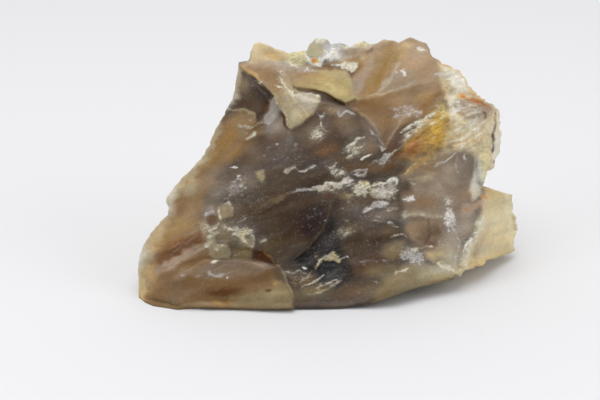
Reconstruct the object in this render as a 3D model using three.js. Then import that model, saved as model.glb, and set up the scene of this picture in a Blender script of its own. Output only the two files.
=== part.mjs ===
// Rough limnosilicite: one broken piece of cloudy brown and cream chalcedony.
//
// The stone is set out the way it is looked at: from its best side and from a little above.
// In that view a place has three measures in millimetres: across (to the right), up, and
// depth (towards the viewer). Two sheets make the solid. The front sheet is all that the
// viewer sees, the back sheet is all that is hidden, with the flat underside in it, and
// both end on the same outline, where they are sewn together.

import * as THREE from "three";
import { mergeGeometries, mergeVertices } from "three/addons/utils/BufferGeometryUtils.js";

// The view that the measures are taken in
const VIEW_ELEVATION = THREE.MathUtils.degToRad(23);
const VIEW_DISTANCE = 388;
const VIEW_HEIGHT = 17.15; // height above the floor of the point looked at
const FOOTPRINT_CENTRE = new THREE.Vector2(6.4, 4.15); // middle of the stone's length and depth

const RIGHT = new THREE.Vector3(1, 0, 0);
const UPWARD = new THREE.Vector3(0, Math.sin(VIEW_ELEVATION), Math.cos(VIEW_ELEVATION));
const TOWARDS = new THREE.Vector3(0, -Math.cos(VIEW_ELEVATION), Math.sin(VIEW_ELEVATION));
const LOOKED_AT = new THREE.Vector3(0, 0, VIEW_HEIGHT);

// Fineness of the two sheets: squares along one side of each
const SQUARES = 49;
const SHEET_MIDDLE = [3, 3];
const LEAST_THICKNESS = 1;

// Colour and finish of the stone as a whole
const STONE_COLOUR = 0x86775f;
const STONE_ROUGHNESS = 0.42;

// Outline in the view, clockwise from the top left corner: [across, up]
const OUTLINE = [
  // the jagged crest
  [-12.2, 27.4], [-10.4, 27.7], [-10.0, 29.0], [-9.2, 31.4], [-8.2, 31.6], [-2.2, 29.2],
  [1.4, 30.0], [1.8, 31.0], [3.2, 32.4], [5.4, 32.2], [6.2, 31.2], [8.2, 31.4], [10.0, 30.8],
  [12.6, 31.8], [14.0, 31.2], [15.4, 31.4], [16.8, 32.2], [19.6, 31.4], [22.0, 32.6], [25.2, 31.4],
  // down the chalky right-hand edge to the notch
  [26.6, 28.8], [27.6, 27.8], [31.6, 26.2], [34.4, 21.8], [39.4, 18.2], [40.2, 13.4],
  [40.2, 10.8], [38.8, 6.4], [37.6, 5.8], [36.8, 2.8],
  // round the thin tail
  [42.2, 1.0], [42.2, -0.8], [43.4, -6.4], [42.6, -10.0], [38.0, -12.0],
  // the lower edge, first clear of the floor and then on it
  [30.0, -16.0], [22.0, -18.0], [17.0, -19.8], [14.0, -20.8], [8.0, -21.6], [-7.6, -21.8],
  [-20.0, -21.5], [-24.4, -22.0], [-29.4, -21.2],
  // up the rounded left-hand edge
  [-31.0, -20.5], [-32.2, -19.5], [-32.4, -12.4], [-31.4, -9.0], [-29.0, -5.6], [-26.4, -2.8],
  [-26.2, -1.6], [-26.8, -0.4], [-26.6, 0.8], [-24.4, 3.6], [-20.8, 7.0], [-18.8, 9.8],
  [-15.8, 16.2], [-13.4, 20.2],
];

// Broad faces on the seen side: the compass side and slope that each looks to, in degrees
// (0 is straight at the viewer, plus is to the right), and a place that it passes through
const FRONT_FACES = [
  { name: "broad dark face", side: 0, slope: 29, through: [0, 0, 5.2] },
  { name: "lower left", side: -30, slope: 22, through: [-23, -14, 7.2] },
  { name: "upper left", side: -25, slope: 36, through: [-14, 8, 3.9] },
  { name: "brown face under the crest", side: 14, slope: 43, through: [14, 18, 2.0] },
  { name: "tan face at the crest", side: 10, slope: 63, through: [16, 21, 0.6] },
  { name: "shelf at the top left", side: -4, slope: 82, through: [-2, 25.4, 2.0] },
  { name: "right-hand face", side: 27, slope: 25, through: [27, 0, 2.2] },
  { name: "chalky edge", side: 58, slope: 14, through: [38.4, 12, -6.0] },
];

const BACK_FACES = [
  { name: "back", side: 176, slope: -4, through: [0, 30, -14.5] },
  { name: "back left", side: 215, slope: -10, through: [-32, -12, -2.5] },
  { name: "back right", side: 115, slope: 4, through: [40.2, 10, -13.0] },
  { name: "undercut", side: 182, slope: -38, through: [5, -6, -22.0] },
];

// How wide the creases between the broad faces are rounded
const FRONT_CREASE = 0.4;
const BACK_CREASE = 0.5;

// Shell-like scars: dished hollows with a round edge
const FRONT_SCARS = [
  { at: [-9.5, 2.5], radius: 11, depth: 0.9 },
  { at: [9, -12], radius: 10.5, depth: 1.1 },
  { at: [24, -13], radius: 8, depth: 0.9 },
  { at: [-22, -8], radius: 7, depth: 0.8 },
  { at: [20.5, 26.5], radius: 8.5, depth: 1.2 },
  { at: [28.5, 20.5], radius: 7, depth: 0.9 },
  { at: [31, 4.5], radius: 5.5, depth: 0.8 },
  { at: [-12, -17], radius: 7.5, depth: 0.6 },
];

const BACK_SCARS = [
  { at: [9, 4], radius: 15, depth: 2.8 },
  { at: [-9, -3], radius: 10, depth: 2.2 },
  { at: [27, 12], radius: 9, depth: 2.0 },
  { at: [24, -8], radius: 9, depth: 2.0 },
  { at: [0, 20], radius: 8, depth: 1.8 },
  { at: [-20, -6], radius: 8, depth: 1.4 },
];

// Flakes and ledges that stand proud, and chips that are sunk (minus lift). Where there is a
// slant, the lift grows from nothing at its first place to full at its second.
const LEDGES = [
  {
    name: "pointed pale flake",
    outline: [
      [-7.6, 23.2], [-3.4, 25.4], [-2, 24.4], [-1, 22], [4, 21], [4.4, 20.2], [2.4, 17], [0, 15],
      [-2, 14], [-3.2, 17], [-5, 20.4],
    ],
    lift: 1.0,
    edge: 1.2,
    slant: [[-5, 28], [-1, 15.5]],
  },
  {
    name: "crescent flake",
    outline: [
      [-1.6, 24], [0, 25.2], [3, 25.6], [6, 25.9], [9, 25.4], [10.6, 23.6], [11.2, 20.2],
      [9, 19.2], [7, 20.2], [5, 21.4], [2, 22.2], [-1, 22.4],
    ],
    lift: 1.5,
    edge: 1.2,
    slant: [[4, 26.5], [6.5, 20.6]],
  },
  {
    name: "amber lobe",
    outline: [
      [-16, 18.6], [-13.4, 18.4], [-10, 17.6], [-9, 17], [-8.6, 15.6], [-7.4, 14.2], [-8, 9],
      [-14, 4], [-22, 4], [-22, 14],
    ],
    lift: 0.8,
    edge: 1.3,
    slant: [[-15, 6], [-10.5, 16.5]],
  },
  {
    name: "grey lobe",
    outline: [
      [0, 20], [6, 19.6], [10, 18.4], [13, 17], [15.6, 14], [17, 10.4], [17.6, 6], [8, 2], [-4, 8],
    ],
    lift: 1.4,
    edge: 1.3,
    slant: [[1, 9], [14.5, 13.5]],
  },
  {
    name: "thin tail, set back",
    outline: [
      [35.6, 3.4], [37.2, 2.6], [44, 3], [45, -8], [38, -16], [33, -14.2], [34.4, -9], [36.4, -6],
      [37, -2.6],
    ],
    lift: -1.7,
    edge: 2.4,
  },
  {
    name: "pale blade beside the tail",
    outline: [
      [32, -13.4], [32.2, -10], [33.6, -8], [35.4, -5.6], [36, -6], [35.8, -8.6], [34.4, -11],
      [33.6, -14],
    ],
    lift: 0.8,
    edge: 1.6,
    slant: [[32, -8], [35.4, -10]],
  },
  {
    name: "lower left block",
    outline: [
      [-19, -12], [-12, -12], [-8.6, -12.4], [-6.4, -13.4], [-4.4, -13.2], [-3.2, -15.4],
      [-2.4, -17.6], [-1.4, -19.6], [-1.2, -24], [-24, -24], [-26, -16],
    ],
    lift: 1.4,
    edge: 1.3,
    slant: [[-26, -19], [-5, -13]],
  },
  {
    name: "first small plate",
    outline: [[-16.4, -0.6], [-13.6, -0.8], [-13.4, -3.4], [-15, -4.2], [-16.8, -3]],
    lift: 0.7,
    edge: 1.2,
    slant: [[-17, 0], [-14, -4]],
  },
  {
    name: "second small plate",
    outline: [[-14, -5.6], [-10.4, -6], [-9, -7.4], [-9, -9.6], [-12, -9.8], [-14.4, -8.4]],
    lift: 0.9,
    edge: 1.2,
    slant: [[-14, -5], [-9.5, -9]],
  },
  {
    name: "third small plate",
    outline: [[-18.4, -8], [-14.2, -8.2], [-14.4, -11.8], [-17.6, -11.8], [-18.4, -10]],
    lift: 0.8,
    edge: 1.2,
    slant: [[-19, -8], [-15, -11]],
  },
  {
    name: "three-cornered chip",
    outline: [[-9.6, -10], [-6.4, -10.8], [-4.8, -13], [-6.6, -13.4], [-9.4, -12.2]],
    lift: -1.1,
    edge: 1.3,
  },
  {
    name: "square chip on the right",
    outline: [[20, -3.8], [28.8, -3.6], [29, -9], [25.4, -9.2], [20.8, -7]],
    lift: -1.0,
    edge: 1.3,
    slant: [[29, -9.5], [24, -4]],
  },
  {
    name: "dark pit near the foot",
    outline: [[3.8, -12], [5.6, -11.4], [8.4, -12], [9.6, -13.6], [8.4, -15.8], [5.4, -16], [3.8, -14]],
    lift: -1.8,
    edge: 1.8,
    slant: [[9, -17], [5, -12]],
  },
  {
    name: "pale flake in the middle",
    outline: [[13.6, 4], [19.4, 4.4], [18.6, 0], [15, 0], [13.2, 1.6]],
    lift: 0.8,
    edge: 1.2,
    slant: [[13, 3], [18, 0.6]],
  },
];

// Hollow under the shelf at the top left: it is deepest at the shelf's edge
const HOLLOW = {
  outline: [
    [-13, 27.2], [-12.2, 26.8], [-7.6, 23.2], [-5, 20.4], [-6, 19], [-6.4, 17.6], [-8.6, 15.6],
    [-9, 17], [-10, 17.6], [-14.4, 18.4],
  ],
  shelfEdge: [[-12.4, 27.4], [-2, 14]],
  edge: 1.2,
  depthAtShelf: 0.5,
  fall: 0.25,
  deepest: 1.3,
};

// Long curved step across the broad face: its lower right side is the lower one
const STEP = {
  along: [
    [7.5, 6], [6.6, 1], [6, -1], [5.4, -4], [4, -6.4], [2, -8.8], [0, -10.6], [-2, -12.4],
    [-3.8, -13.4],
  ],
  drop: 1.4,
  edge: 1.1,
  reach: 7,
};

// Gap under the crescent flake, and a low ridge on the brown face
const GAP = {
  along: [[-1.4, 22.3], [1, 21.8], [4.4, 21.3], [6.6, 19.9], [8.6, 18.9]],
  height: -0.8,
  width: 0.7,
};
const RIDGE = {
  along: [[17, 10], [20, 15], [23.6, 18]],
  height: 0.5,
  width: 1.1,
};

// Lumpy back row of the crest, a few millimetres behind the shelf
const BACK_ROW = {
  outline: [
    [-12, 27.6], [-9.6, 27.5], [-2.4, 26.9], [2, 26.8], [6, 27.2], [11.6, 28], [14.6, 30.4],
    [15, 34], [-12, 34],
  ],
  edge: 1.2,
  face: { side: 0, slope: 48, through: [0, 28.5, -5.4] },
  lumpHeight: 1.2,
  lumpSize: [3.1, 2.4],
};

// Chalky rind on the right: broken into small tilted chips
const RIND = {
  outline: [
    [28, 28], [29.4, 23.2], [26.6, 20.4], [23.6, 16.4], [20, 12], [20.4, 8.4], [25, 6.8],
    [30, 9.6], [35.6, 10], [36.4, 2.8], [42, 3], [42, 18], [34, 27],
  ],
  edge: 2.0,
  chipSize: [3.4, 2.8],
  chipHeight: 0.9,
};

// Low waves of the broken surface, drawn out along the stone's grain
const GRAIN_ANGLE = THREE.MathUtils.degToRad(20);
const GRAIN = { length: 10, width: 3.6, height: 0.5 };
const SWELL = { length: 9, width: 7, height: 0.5 };
const BACK_SWELL = { length: 9, width: 7, height: 0.9 };

// Edges: how far the surface rounds over at the outline, and how steeply the back falls away
const EDGE_ROUND = 0.5;
const LEFT_EDGE_ROUND = 2.1;
const BACK_FALL = 1.6;
const FOOT_FALL = 3.5;
const TAIL_FALL = 0.7;

// Width of the band inside the outline over which the small relief dies away
const RELIEF_FREE_RIM = 1.5;

/** Eases 0..1 with level ends. */
function ease(x) {
  return THREE.MathUtils.smoothstep(x, 0, 1);
}

/** Smaller of two depths, with the crease between them rounded over `round`. */
function softLower(a, b, round) {
  const share = THREE.MathUtils.clamp(0.5 + (0.5 * (b - a)) / round, 0, 1);
  return THREE.MathUtils.lerp(b, a, share) - round * share * (1 - share);
}

/** Point in space for a place given as across, up and depth in the view. */
function inSpace(across, up, depth) {
  const shrink = 1 - depth / VIEW_DISTANCE;
  return LOOKED_AT.clone()
    .addScaledVector(RIGHT, across * shrink)
    .addScaledVector(UPWARD, up * shrink)
    .addScaledVector(TOWARDS, depth);
}

/** Depth of the floor plane at a height in the view. */
function floorDepth(up) {
  return -(VIEW_HEIGHT + up * UPWARD.z) / (TOWARDS.z - (up * UPWARD.z) / VIEW_DISTANCE);
}

/** Depth of a flat face at a place in the view. */
function faceDepth(face, across, up) {
  const side = THREE.MathUtils.degToRad(face.side);
  const slope = THREE.MathUtils.degToRad(face.slope);
  const normal = new THREE.Vector3(
    Math.sin(side) * Math.cos(slope),
    -Math.cos(side) * Math.cos(slope),
    Math.sin(slope),
  );
  const eye = LOOKED_AT.clone().addScaledVector(TOWARDS, VIEW_DISTANCE);
  const sight = new THREE.Vector3()
    .addScaledVector(RIGHT, across)
    .addScaledVector(UPWARD, up)
    .addScaledVector(TOWARDS, -VIEW_DISTANCE);
  const reach = normal.dot(inSpace(...face.through).sub(eye)) / normal.dot(sight);
  return VIEW_DISTANCE * (1 - reach);
}

/** Nearest distance from a place to a line of points, and on which hand of the line it lies. */
function toLine(points, across, up) {
  let nearest = Infinity;
  let hand = 1;
  let index = 0;
  for (let i = 0; i + 1 < points.length; i += 1) {
    const [x, y] = points[i];
    const dx = points[i + 1][0] - x;
    const dy = points[i + 1][1] - y;
    const share = ((across - x) * dx + (up - y) * dy) / (dx * dx + dy * dy);
    const along = THREE.MathUtils.clamp(share, 0, 1);
    const ox = across - x - along * dx;
    const oy = up - y - along * dy;
    const distance = Math.hypot(ox, oy);
    if (distance < nearest) {
      nearest = distance;
      hand = Math.sign(dx * oy - dy * ox);
      index = i + along;
    }
  }
  return { distance: nearest, hand, index };
}

/** Whether a place is inside a closed outline. */
function isInside(points, across, up) {
  let inside = false;
  points.forEach(([x, y], i) => {
    const [px, py] = points[(i + points.length - 1) % points.length];
    if (y > up !== py > up && across < x + ((up - y) / (py - y)) * (px - x)) {
      inside = !inside;
    }
  });
  return inside;
}

/** 1 inside a closed outline and 0 outside, passing over within the width of its edge. */
function cover(points, edge, across, up) {
  const { distance } = toLine([...points, points[0]], across, up);
  const signed = isInside(points, across, up) ? distance : -distance;
  return ease(signed / edge + 0.5);
}

/** Number 0..1 that looks random but is fixed by the two whole numbers and the seed. */
function scatter(i, j, seed) {
  const value = Math.sin(i * 127.1 + j * 311.7 + seed * 74.7) * 43758.5453;
  return value - Math.floor(value);
}

/** Smooth uneven field between -1 and 1, about one hill to each unit. */
function unevenness(x, y, seed) {
  const i = Math.floor(x);
  const j = Math.floor(y);
  const fx = ease(x - i);
  const fy = ease(y - j);
  const lower = THREE.MathUtils.lerp(scatter(i, j, seed), scatter(i + 1, j, seed), fx);
  const upper = THREE.MathUtils.lerp(scatter(i, j + 1, seed), scatter(i + 1, j + 1, seed), fx);
  return THREE.MathUtils.lerp(lower, upper, fy) * 2 - 1;
}

/** Broken ground: each cell is a small plane that leans its own way. */
function chips(x, y, seed) {
  let nearest = Infinity;
  let height = 0;
  for (let i = Math.floor(x) - 1; i <= Math.floor(x) + 1; i += 1) {
    for (let j = Math.floor(y) - 1; j <= Math.floor(y) + 1; j += 1) {
      const ox = x - i - scatter(i, j, seed);
      const oy = y - j - scatter(i, j, seed + 1);
      if (ox * ox + oy * oy < nearest) {
        nearest = ox * ox + oy * oy;
        const leanX = 2 * scatter(i, j, seed + 2) - 1;
        const leanY = 2 * scatter(i, j, seed + 3) - 1;
        height = leanX * ox + leanY * oy + scatter(i, j, seed + 4) - 0.5;
      }
    }
  }
  return height;
}

/** How much of a dished scar's depth is cut away at a place. */
function scarCut({ at, radius, depth }, across, up) {
  const share = ((across - at[0]) ** 2 + (up - at[1]) ** 2) / radius ** 2;
  return depth * Math.max(0, 1 - share);
}

/** Height that a ledge adds at a place. */
function ledgeLift({ outline, lift, edge, slant }, across, up) {
  const amount = lift * cover(outline, edge, across, up);
  if (!slant) {
    return amount;
  }
  const [[x, y], [toX, toY]] = slant;
  const run = new THREE.Vector2(toX - x, toY - y);
  const share = run.dot(new THREE.Vector2(across - x, up - y)) / run.lengthSq();
  return amount * THREE.MathUtils.clamp(share, 0, 1.3);
}

/** Height of a rounded ridge, or of a gap where it is minus. */
function ridgeLift({ along, height, width }, across, up) {
  return height * Math.exp(-((toLine(along, across, up).distance / width) ** 2));
}

/** How far the hollow under the shelf is sunk. */
function hollowCut(across, up) {
  const { distance } = toLine(HOLLOW.shelfEdge, across, up);
  const depth = Math.min(HOLLOW.deepest, HOLLOW.depthAtShelf + HOLLOW.fall * distance);
  return depth * cover(HOLLOW.outline, HOLLOW.edge, across, up);
}

/** How far the ground is lower beside the curved step. */
function stepCut(across, up) {
  const { distance, hand } = toLine(STEP.along, across, up);
  const top = STEP.along[0][1];
  const foot = STEP.along[STEP.along.length - 1][1];
  if (hand < 0 || up > top || up < foot) {
    return 0;
  }
  const ends = ease((top - up) / 6) * ease((up - foot) / 2);
  return STEP.drop * ends * ease(distance / STEP.edge) * Math.exp(-distance / STEP.reach);
}

/** Depth of the seen side, before its edge is rounded. */
function frontForm(across, up) {
  const faceDepths = FRONT_FACES.map((face) => faceDepth(face, across, up));
  let depth = faceDepths.reduce((a, b) => softLower(a, b, FRONT_CREASE));
  for (const scar of FRONT_SCARS) {
    depth -= scarCut(scar, across, up);
  }
  depth -= hollowCut(across, up);
  depth -= stepCut(across, up);
  for (const ledge of LEDGES) {
    depth += ledgeLift(ledge, across, up);
  }
  depth += ridgeLift(GAP, across, up);
  depth += ridgeLift(RIDGE, across, up);
  const row =
    faceDepth(BACK_ROW.face, across, up) +
    BACK_ROW.lumpHeight * unevenness(across / BACK_ROW.lumpSize[0], up / BACK_ROW.lumpSize[1], 3);
  return THREE.MathUtils.lerp(depth, row, cover(BACK_ROW.outline, BACK_ROW.edge, across, up));
}

/** Small uneven relief of the seen side. */
function frontRelief(across, up) {
  const along = across * Math.cos(GRAIN_ANGLE) + up * Math.sin(GRAIN_ANGLE);
  const over = up * Math.cos(GRAIN_ANGLE) - across * Math.sin(GRAIN_ANGLE);
  const swell = SWELL.height * unevenness(across / SWELL.length, up / SWELL.width, 5);
  const grain = GRAIN.height * unevenness(along / GRAIN.length, over / GRAIN.width, 21);
  const rind = RIND.chipHeight * chips(across / RIND.chipSize[0], up / RIND.chipSize[1], 31);
  return swell + grain + rind * cover(RIND.outline, RIND.edge, across, up);
}

/** Depth of the hidden side, before it closes on the outline. */
function backForm(across, up) {
  const faceDepths = BACK_FACES.map((face) => -faceDepth(face, across, up));
  let depth = -faceDepths.reduce((a, b) => softLower(a, b, BACK_CREASE));
  for (const scar of BACK_SCARS) {
    depth += scarCut(scar, across, up);
  }
  const swell = unevenness(across / BACK_SWELL.length, up / BACK_SWELL.width, 11);
  return depth + BACK_SWELL.height * swell;
}

/** How far the surface rounds over at a place on the outline. */
function edgeRound(across, up) {
  const left = ease((-18 - across) / 6) * ease((6 - up) / 6);
  return THREE.MathUtils.lerp(EDGE_ROUND, LEFT_EDGE_ROUND, left);
}

/** How steeply the hidden side falls away from the outline near a place. */
function backFall(across, up) {
  const foot = ease((-6 - up) / 5);
  const tail = ease((across - 33) / 3) * ease((6 - up) / 3) * ease((up + 12) / 3);
  return BACK_FALL + (FOOT_FALL - BACK_FALL) * foot - (BACK_FALL - TAIL_FALL) * tail;
}

/** The outline as a set number of points: every corner is kept and the longest pieces are split. */
function splitOutline(count) {
  const pieces = OUTLINE.map((from, i) => {
    const to = OUTLINE[(i + 1) % OUTLINE.length];
    return { from, to, length: Math.hypot(to[0] - from[0], to[1] - from[1]), parts: 1 };
  });
  for (let total = pieces.length; total < count; total += 1) {
    const longest = pieces.reduce((a, b) => (b.length / b.parts > a.length / a.parts ? b : a));
    longest.parts += 1;
  }
  return pieces.flatMap(({ from, to, parts }) =>
    Array.from({ length: parts }, (_, i) => [
      THREE.MathUtils.lerp(from[0], to[0], i / parts),
      THREE.MathUtils.lerp(from[1], to[1], i / parts),
    ]),
  );
}

const RIM = splitOutline(4 * SQUARES).map(([across, up]) => {
  const round = edgeRound(across, up);
  return { across, up, round, depth: Math.max(frontForm(across, up) - round, floorDepth(up)) };
});
const CLOSED_RIM = [...RIM, RIM[0]];
const CLOSED_RIM_POINTS = CLOSED_RIM.map(({ across, up }) => [across, up]);

/** A value of the rim between two of its points. */
function onRim(key, index) {
  const start = Math.min(Math.floor(index), RIM.length - 1);
  return THREE.MathUtils.lerp(CLOSED_RIM[start][key], CLOSED_RIM[start + 1][key], index - start);
}

/** Place in the view of a node of the square sheet, which is drawn out to the stone's outline. */
function placeOf(x, y) {
  const share = Math.max(Math.abs(x), Math.abs(y));
  if (share < 1e-9) {
    return { across: SHEET_MIDDLE[0], up: SHEET_MIDDLE[1], share: 0 };
  }
  let turn = x / share + 1; // along the top side, then clockwise: 0..8
  if (x / share > 1 - 1e-9) {
    turn = 3 - y / share;
  } else if (y / share < -1 + 1e-9) {
    turn = 5 - x / share;
  } else if (x / share < -1 + 1e-9) {
    turn = (7 + y / share) % 8;
  }
  const index = (turn / 8) * RIM.length;
  return {
    across: THREE.MathUtils.lerp(SHEET_MIDDLE[0], onRim("across", index), share),
    up: THREE.MathUtils.lerp(SHEET_MIDDLE[1], onRim("up", index), share),
    share,
  };
}

/** Depths of both sides at a place inside the outline. */
function bothDepths(across, up) {
  const { distance, index } = toLine(CLOSED_RIM_POINTS, across, up);
  const rimDepth = onRim("depth", index);
  const round = onRim("round", index);
  const inward = Math.max(0, 1 - distance / round);
  const front =
    frontForm(across, up) +
    ease(distance / RELIEF_FREE_RIM) * frontRelief(across, up) -
    round * (1 - Math.sqrt(1 - inward * inward));
  const back = Math.max(
    backForm(across, up),
    rimDepth - backFall(across, up) * distance,
    floorDepth(up),
  );
  return { front: Math.max(front, back + LEAST_THICKNESS), back };
}

/** One side of the stone: a flat square sheet whose nodes are moved to their places. */
function makeSheet(side) {
  const sheet = new THREE.PlaneGeometry(2, 2, SQUARES, SQUARES);
  const nodes = sheet.attributes.position;
  for (let i = 0; i < nodes.count; i += 1) {
    const { across, up, share } = placeOf(nodes.getX(i), nodes.getY(i));
    const rim = toLine(CLOSED_RIM_POINTS, across, up);
    const depth = share > 1 - 1e-9 ? onRim("depth", rim.index) : bothDepths(across, up)[side];
    const point = inSpace(across, up, depth);
    nodes.setXYZ(i, point.x - FOOTPRINT_CENTRE.x, point.y - FOOTPRINT_CENTRE.y, point.z);
  }
  sheet.setIndex(makeTriangles(side === "back"));
  sheet.deleteAttribute("uv");
  sheet.deleteAttribute("normal");
  return sheet;
}

/** Two triangles for each square; the cut between them points at the middle of the sheet. */
function makeTriangles(turned) {
  const triangles = [];
  const middle = (SQUARES - 1) / 2;
  for (let row = 0; row < SQUARES; row += 1) {
    for (let column = 0; column < SQUARES; column += 1) {
      const a = column + (SQUARES + 1) * row;
      const b = a + SQUARES + 1;
      const c = b + 1;
      const d = a + 1;
      const fallingCut = (row - middle) * (column - middle) > 0;
      const pair = fallingCut ? [[a, b, c], [a, c, d]] : [[a, b, d], [b, c, d]];
      for (const triangle of pair) {
        triangles.push(...(turned ? triangle.reverse() : triangle));
      }
    }
  }
  return triangles;
}

/** The stone: both sheets, sewn along their shared outline. */
function makeStone() {
  const geometry = mergeVertices(mergeGeometries([makeSheet("front"), makeSheet("back")]), 1e-4);
  geometry.computeVertexNormals();
  const material = new THREE.MeshStandardMaterial({
    color: STONE_COLOUR,
    roughness: STONE_ROUGHNESS,
    metalness: 0,
    flatShading: true,
  });
  const stone = new THREE.Mesh(geometry, material);
  stone.name = "stone";
  return stone;
}

const specimen = new THREE.Group();
specimen.name = "rough_limnosilicite";
specimen.add(makeStone());

export default specimen;
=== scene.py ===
"""Rough limnosilicite for the render: one broken piece of cloudy brown, grey and cream chalcedony.

The stone is set out the way it is looked at, as its solid is. In that view a place has three
measures in millimetres: across (to the right), up, and depth (towards the viewer). Two sheets
make the stone, a front one with all that the viewer sees and a back one with all that is
hidden, and both end on the same outline, where they are sewn together. Colours are laid on
the sheets' points by formula, from patches, blobs, strokes and wisps in the same measures.
"""

import logging
import math
from dataclasses import dataclass
from enum import Enum

import bpy
import numpy as np
from mathutils import Matrix, Vector


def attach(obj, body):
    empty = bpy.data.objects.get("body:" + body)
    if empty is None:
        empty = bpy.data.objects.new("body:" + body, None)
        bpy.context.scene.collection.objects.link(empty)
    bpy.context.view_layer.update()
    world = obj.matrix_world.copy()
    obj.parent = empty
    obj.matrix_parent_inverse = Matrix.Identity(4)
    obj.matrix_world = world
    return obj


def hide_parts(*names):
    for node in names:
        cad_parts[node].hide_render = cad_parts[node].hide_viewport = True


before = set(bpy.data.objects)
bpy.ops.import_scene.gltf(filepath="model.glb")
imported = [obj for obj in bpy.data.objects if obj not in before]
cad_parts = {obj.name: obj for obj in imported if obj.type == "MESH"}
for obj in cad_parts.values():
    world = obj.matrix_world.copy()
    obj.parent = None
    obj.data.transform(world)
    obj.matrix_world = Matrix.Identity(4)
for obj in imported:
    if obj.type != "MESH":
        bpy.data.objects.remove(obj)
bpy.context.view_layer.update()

Points = tuple[tuple[float, float], ...]
Socket = bpy.types.NodeSocket

MILLIMETRE = 0.001

# Squares along one side of the front sheet; the back sheet has half as many
FRONT_SQUARES = 280
# Where both sheets have their middle in the view
SHEET_MIDDLE = (3.0, 3.0)
# Share of the way out to the outline from which a node counts as on it
NEARLY_ONE = 1 - 1e-9
LEAST_THICKNESS = 1.0

# Outline in the view, clockwise from the top left corner
OUTLINE: Points = (
    # the jagged crest
    (-12.2, 27.4), (-10.4, 27.7), (-10.0, 29.0), (-9.2, 31.4), (-8.2, 31.6), (-2.2, 29.2),
    (1.4, 30.0), (1.8, 31.0), (3.2, 32.4), (5.4, 32.2), (6.2, 31.2), (8.2, 31.4), (10.0, 30.8),
    (12.6, 31.8), (14.0, 31.2), (15.4, 31.4), (16.8, 32.2), (19.6, 31.4), (22.0, 32.6), (25.2, 31.4),
    # down the chalky right-hand edge to the notch
    (26.6, 28.8), (27.6, 27.8), (31.6, 26.2), (34.4, 21.8), (39.4, 18.2), (40.2, 13.4),
    (40.2, 10.8), (38.8, 6.4), (37.6, 5.8), (36.8, 2.8),
    # round the thin tail
    (42.2, 1.0), (42.2, -0.8), (43.4, -6.4), (42.6, -10.0), (38.0, -12.0),
    # the lower edge, first clear of the floor and then on it
    (30.0, -16.0), (22.0, -18.0), (17.0, -19.8), (14.0, -20.8), (8.0, -21.6), (-7.6, -21.8),
    (-20.0, -21.5), (-24.4, -22.0), (-29.4, -21.2),
    # up the rounded left-hand edge
    (-31.0, -20.5), (-32.2, -19.5), (-32.4, -12.4), (-31.4, -9.0), (-29.0, -5.6), (-26.4, -2.8),
    (-26.2, -1.6), (-26.8, -0.4), (-26.6, 0.8), (-24.4, 3.6), (-20.8, 7.0), (-18.8, 9.8),
    (-15.8, 16.2), (-13.4, 20.2),
)

GRAIN_ANGLE = math.radians(20)

# Colours are laid lighter than they are seen, less what the gloss adds all over, but never
# darker than a share of what they were
LIGHTEN = 1.12
GLOSS = (0.020, 0.021, 0.024)
DARKEST_SHARE = 0.3

# How far the edge of a mark is drawn aside, and the length of the waves that it is drawn in
WAVER = 0.45
WAVE_LENGTH = 1.5
# A crust has its own colour in full from a third of its strength on
CRUST_FILL = 3
# Share of a crust that a tint laid on it hides
TINT_COVER = 0.8


class Hue(Enum):
    """Colours of the stone, as screen values from 0 to 255."""

    PITCH = (47, 37, 30)
    BLUE_BLACK = (43, 42, 43)
    SLATE = (86, 79, 73)
    DARK_UMBER = (63, 50, 41)
    UMBER = (82, 67, 55)
    RED_UMBER = (96, 71, 57)
    CHESTNUT = (90, 58, 40)
    COCOA = (114, 88, 64)
    RUST_BROWN = (148, 98, 58)
    DIM_SMOKE = (91, 80, 72)
    SMOKE = (112, 97, 86)
    ASH = (128, 113, 99)
    MAUVE = (143, 126, 108)
    PALE_MAUVE = (168, 151, 132)
    LILAC = (186, 181, 176)
    BLUE_GREY = (124, 124, 124)
    BROWN = (140, 112, 79)
    WARM_BROWN = (151, 127, 99)
    BISTRE = (120, 92, 58)
    AMBER = (152, 116, 62)
    GOLD_BROWN = (163, 132, 84)
    GOLD = (192, 160, 106)
    FLAX = (172, 152, 102)
    HONEY = (196, 175, 120)
    STRAW = (212, 202, 152)
    BRONZE = (149, 122, 80)
    TAN = (162, 137, 108)
    PINK_TAN = (178, 150, 122)
    LAVENDER = (166, 147, 130)
    OCHRE = (186, 150, 82)
    BRIGHT_OCHRE = (204, 164, 74)
    DARK_OCHRE = (138, 100, 48)
    ORANGE = (204, 122, 48)
    RUST = (172, 92, 44)
    DARK_OLIVE = (98, 86, 65)
    OLIVE = (136, 121, 92)
    PALE_OLIVE = (168, 155, 122)
    CLEAR = (186, 179, 153)
    CLEAR_PALE = (206, 202, 184)
    PUTTY = (178, 171, 154)
    TAIL = (198, 182, 144)
    PALE_TAIL = (211, 202, 168)
    BUFF = (204, 187, 150)
    CREAM = (214, 208, 190)
    CHALK = (212, 208, 196)
    WHITE = (222, 219, 213)


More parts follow.
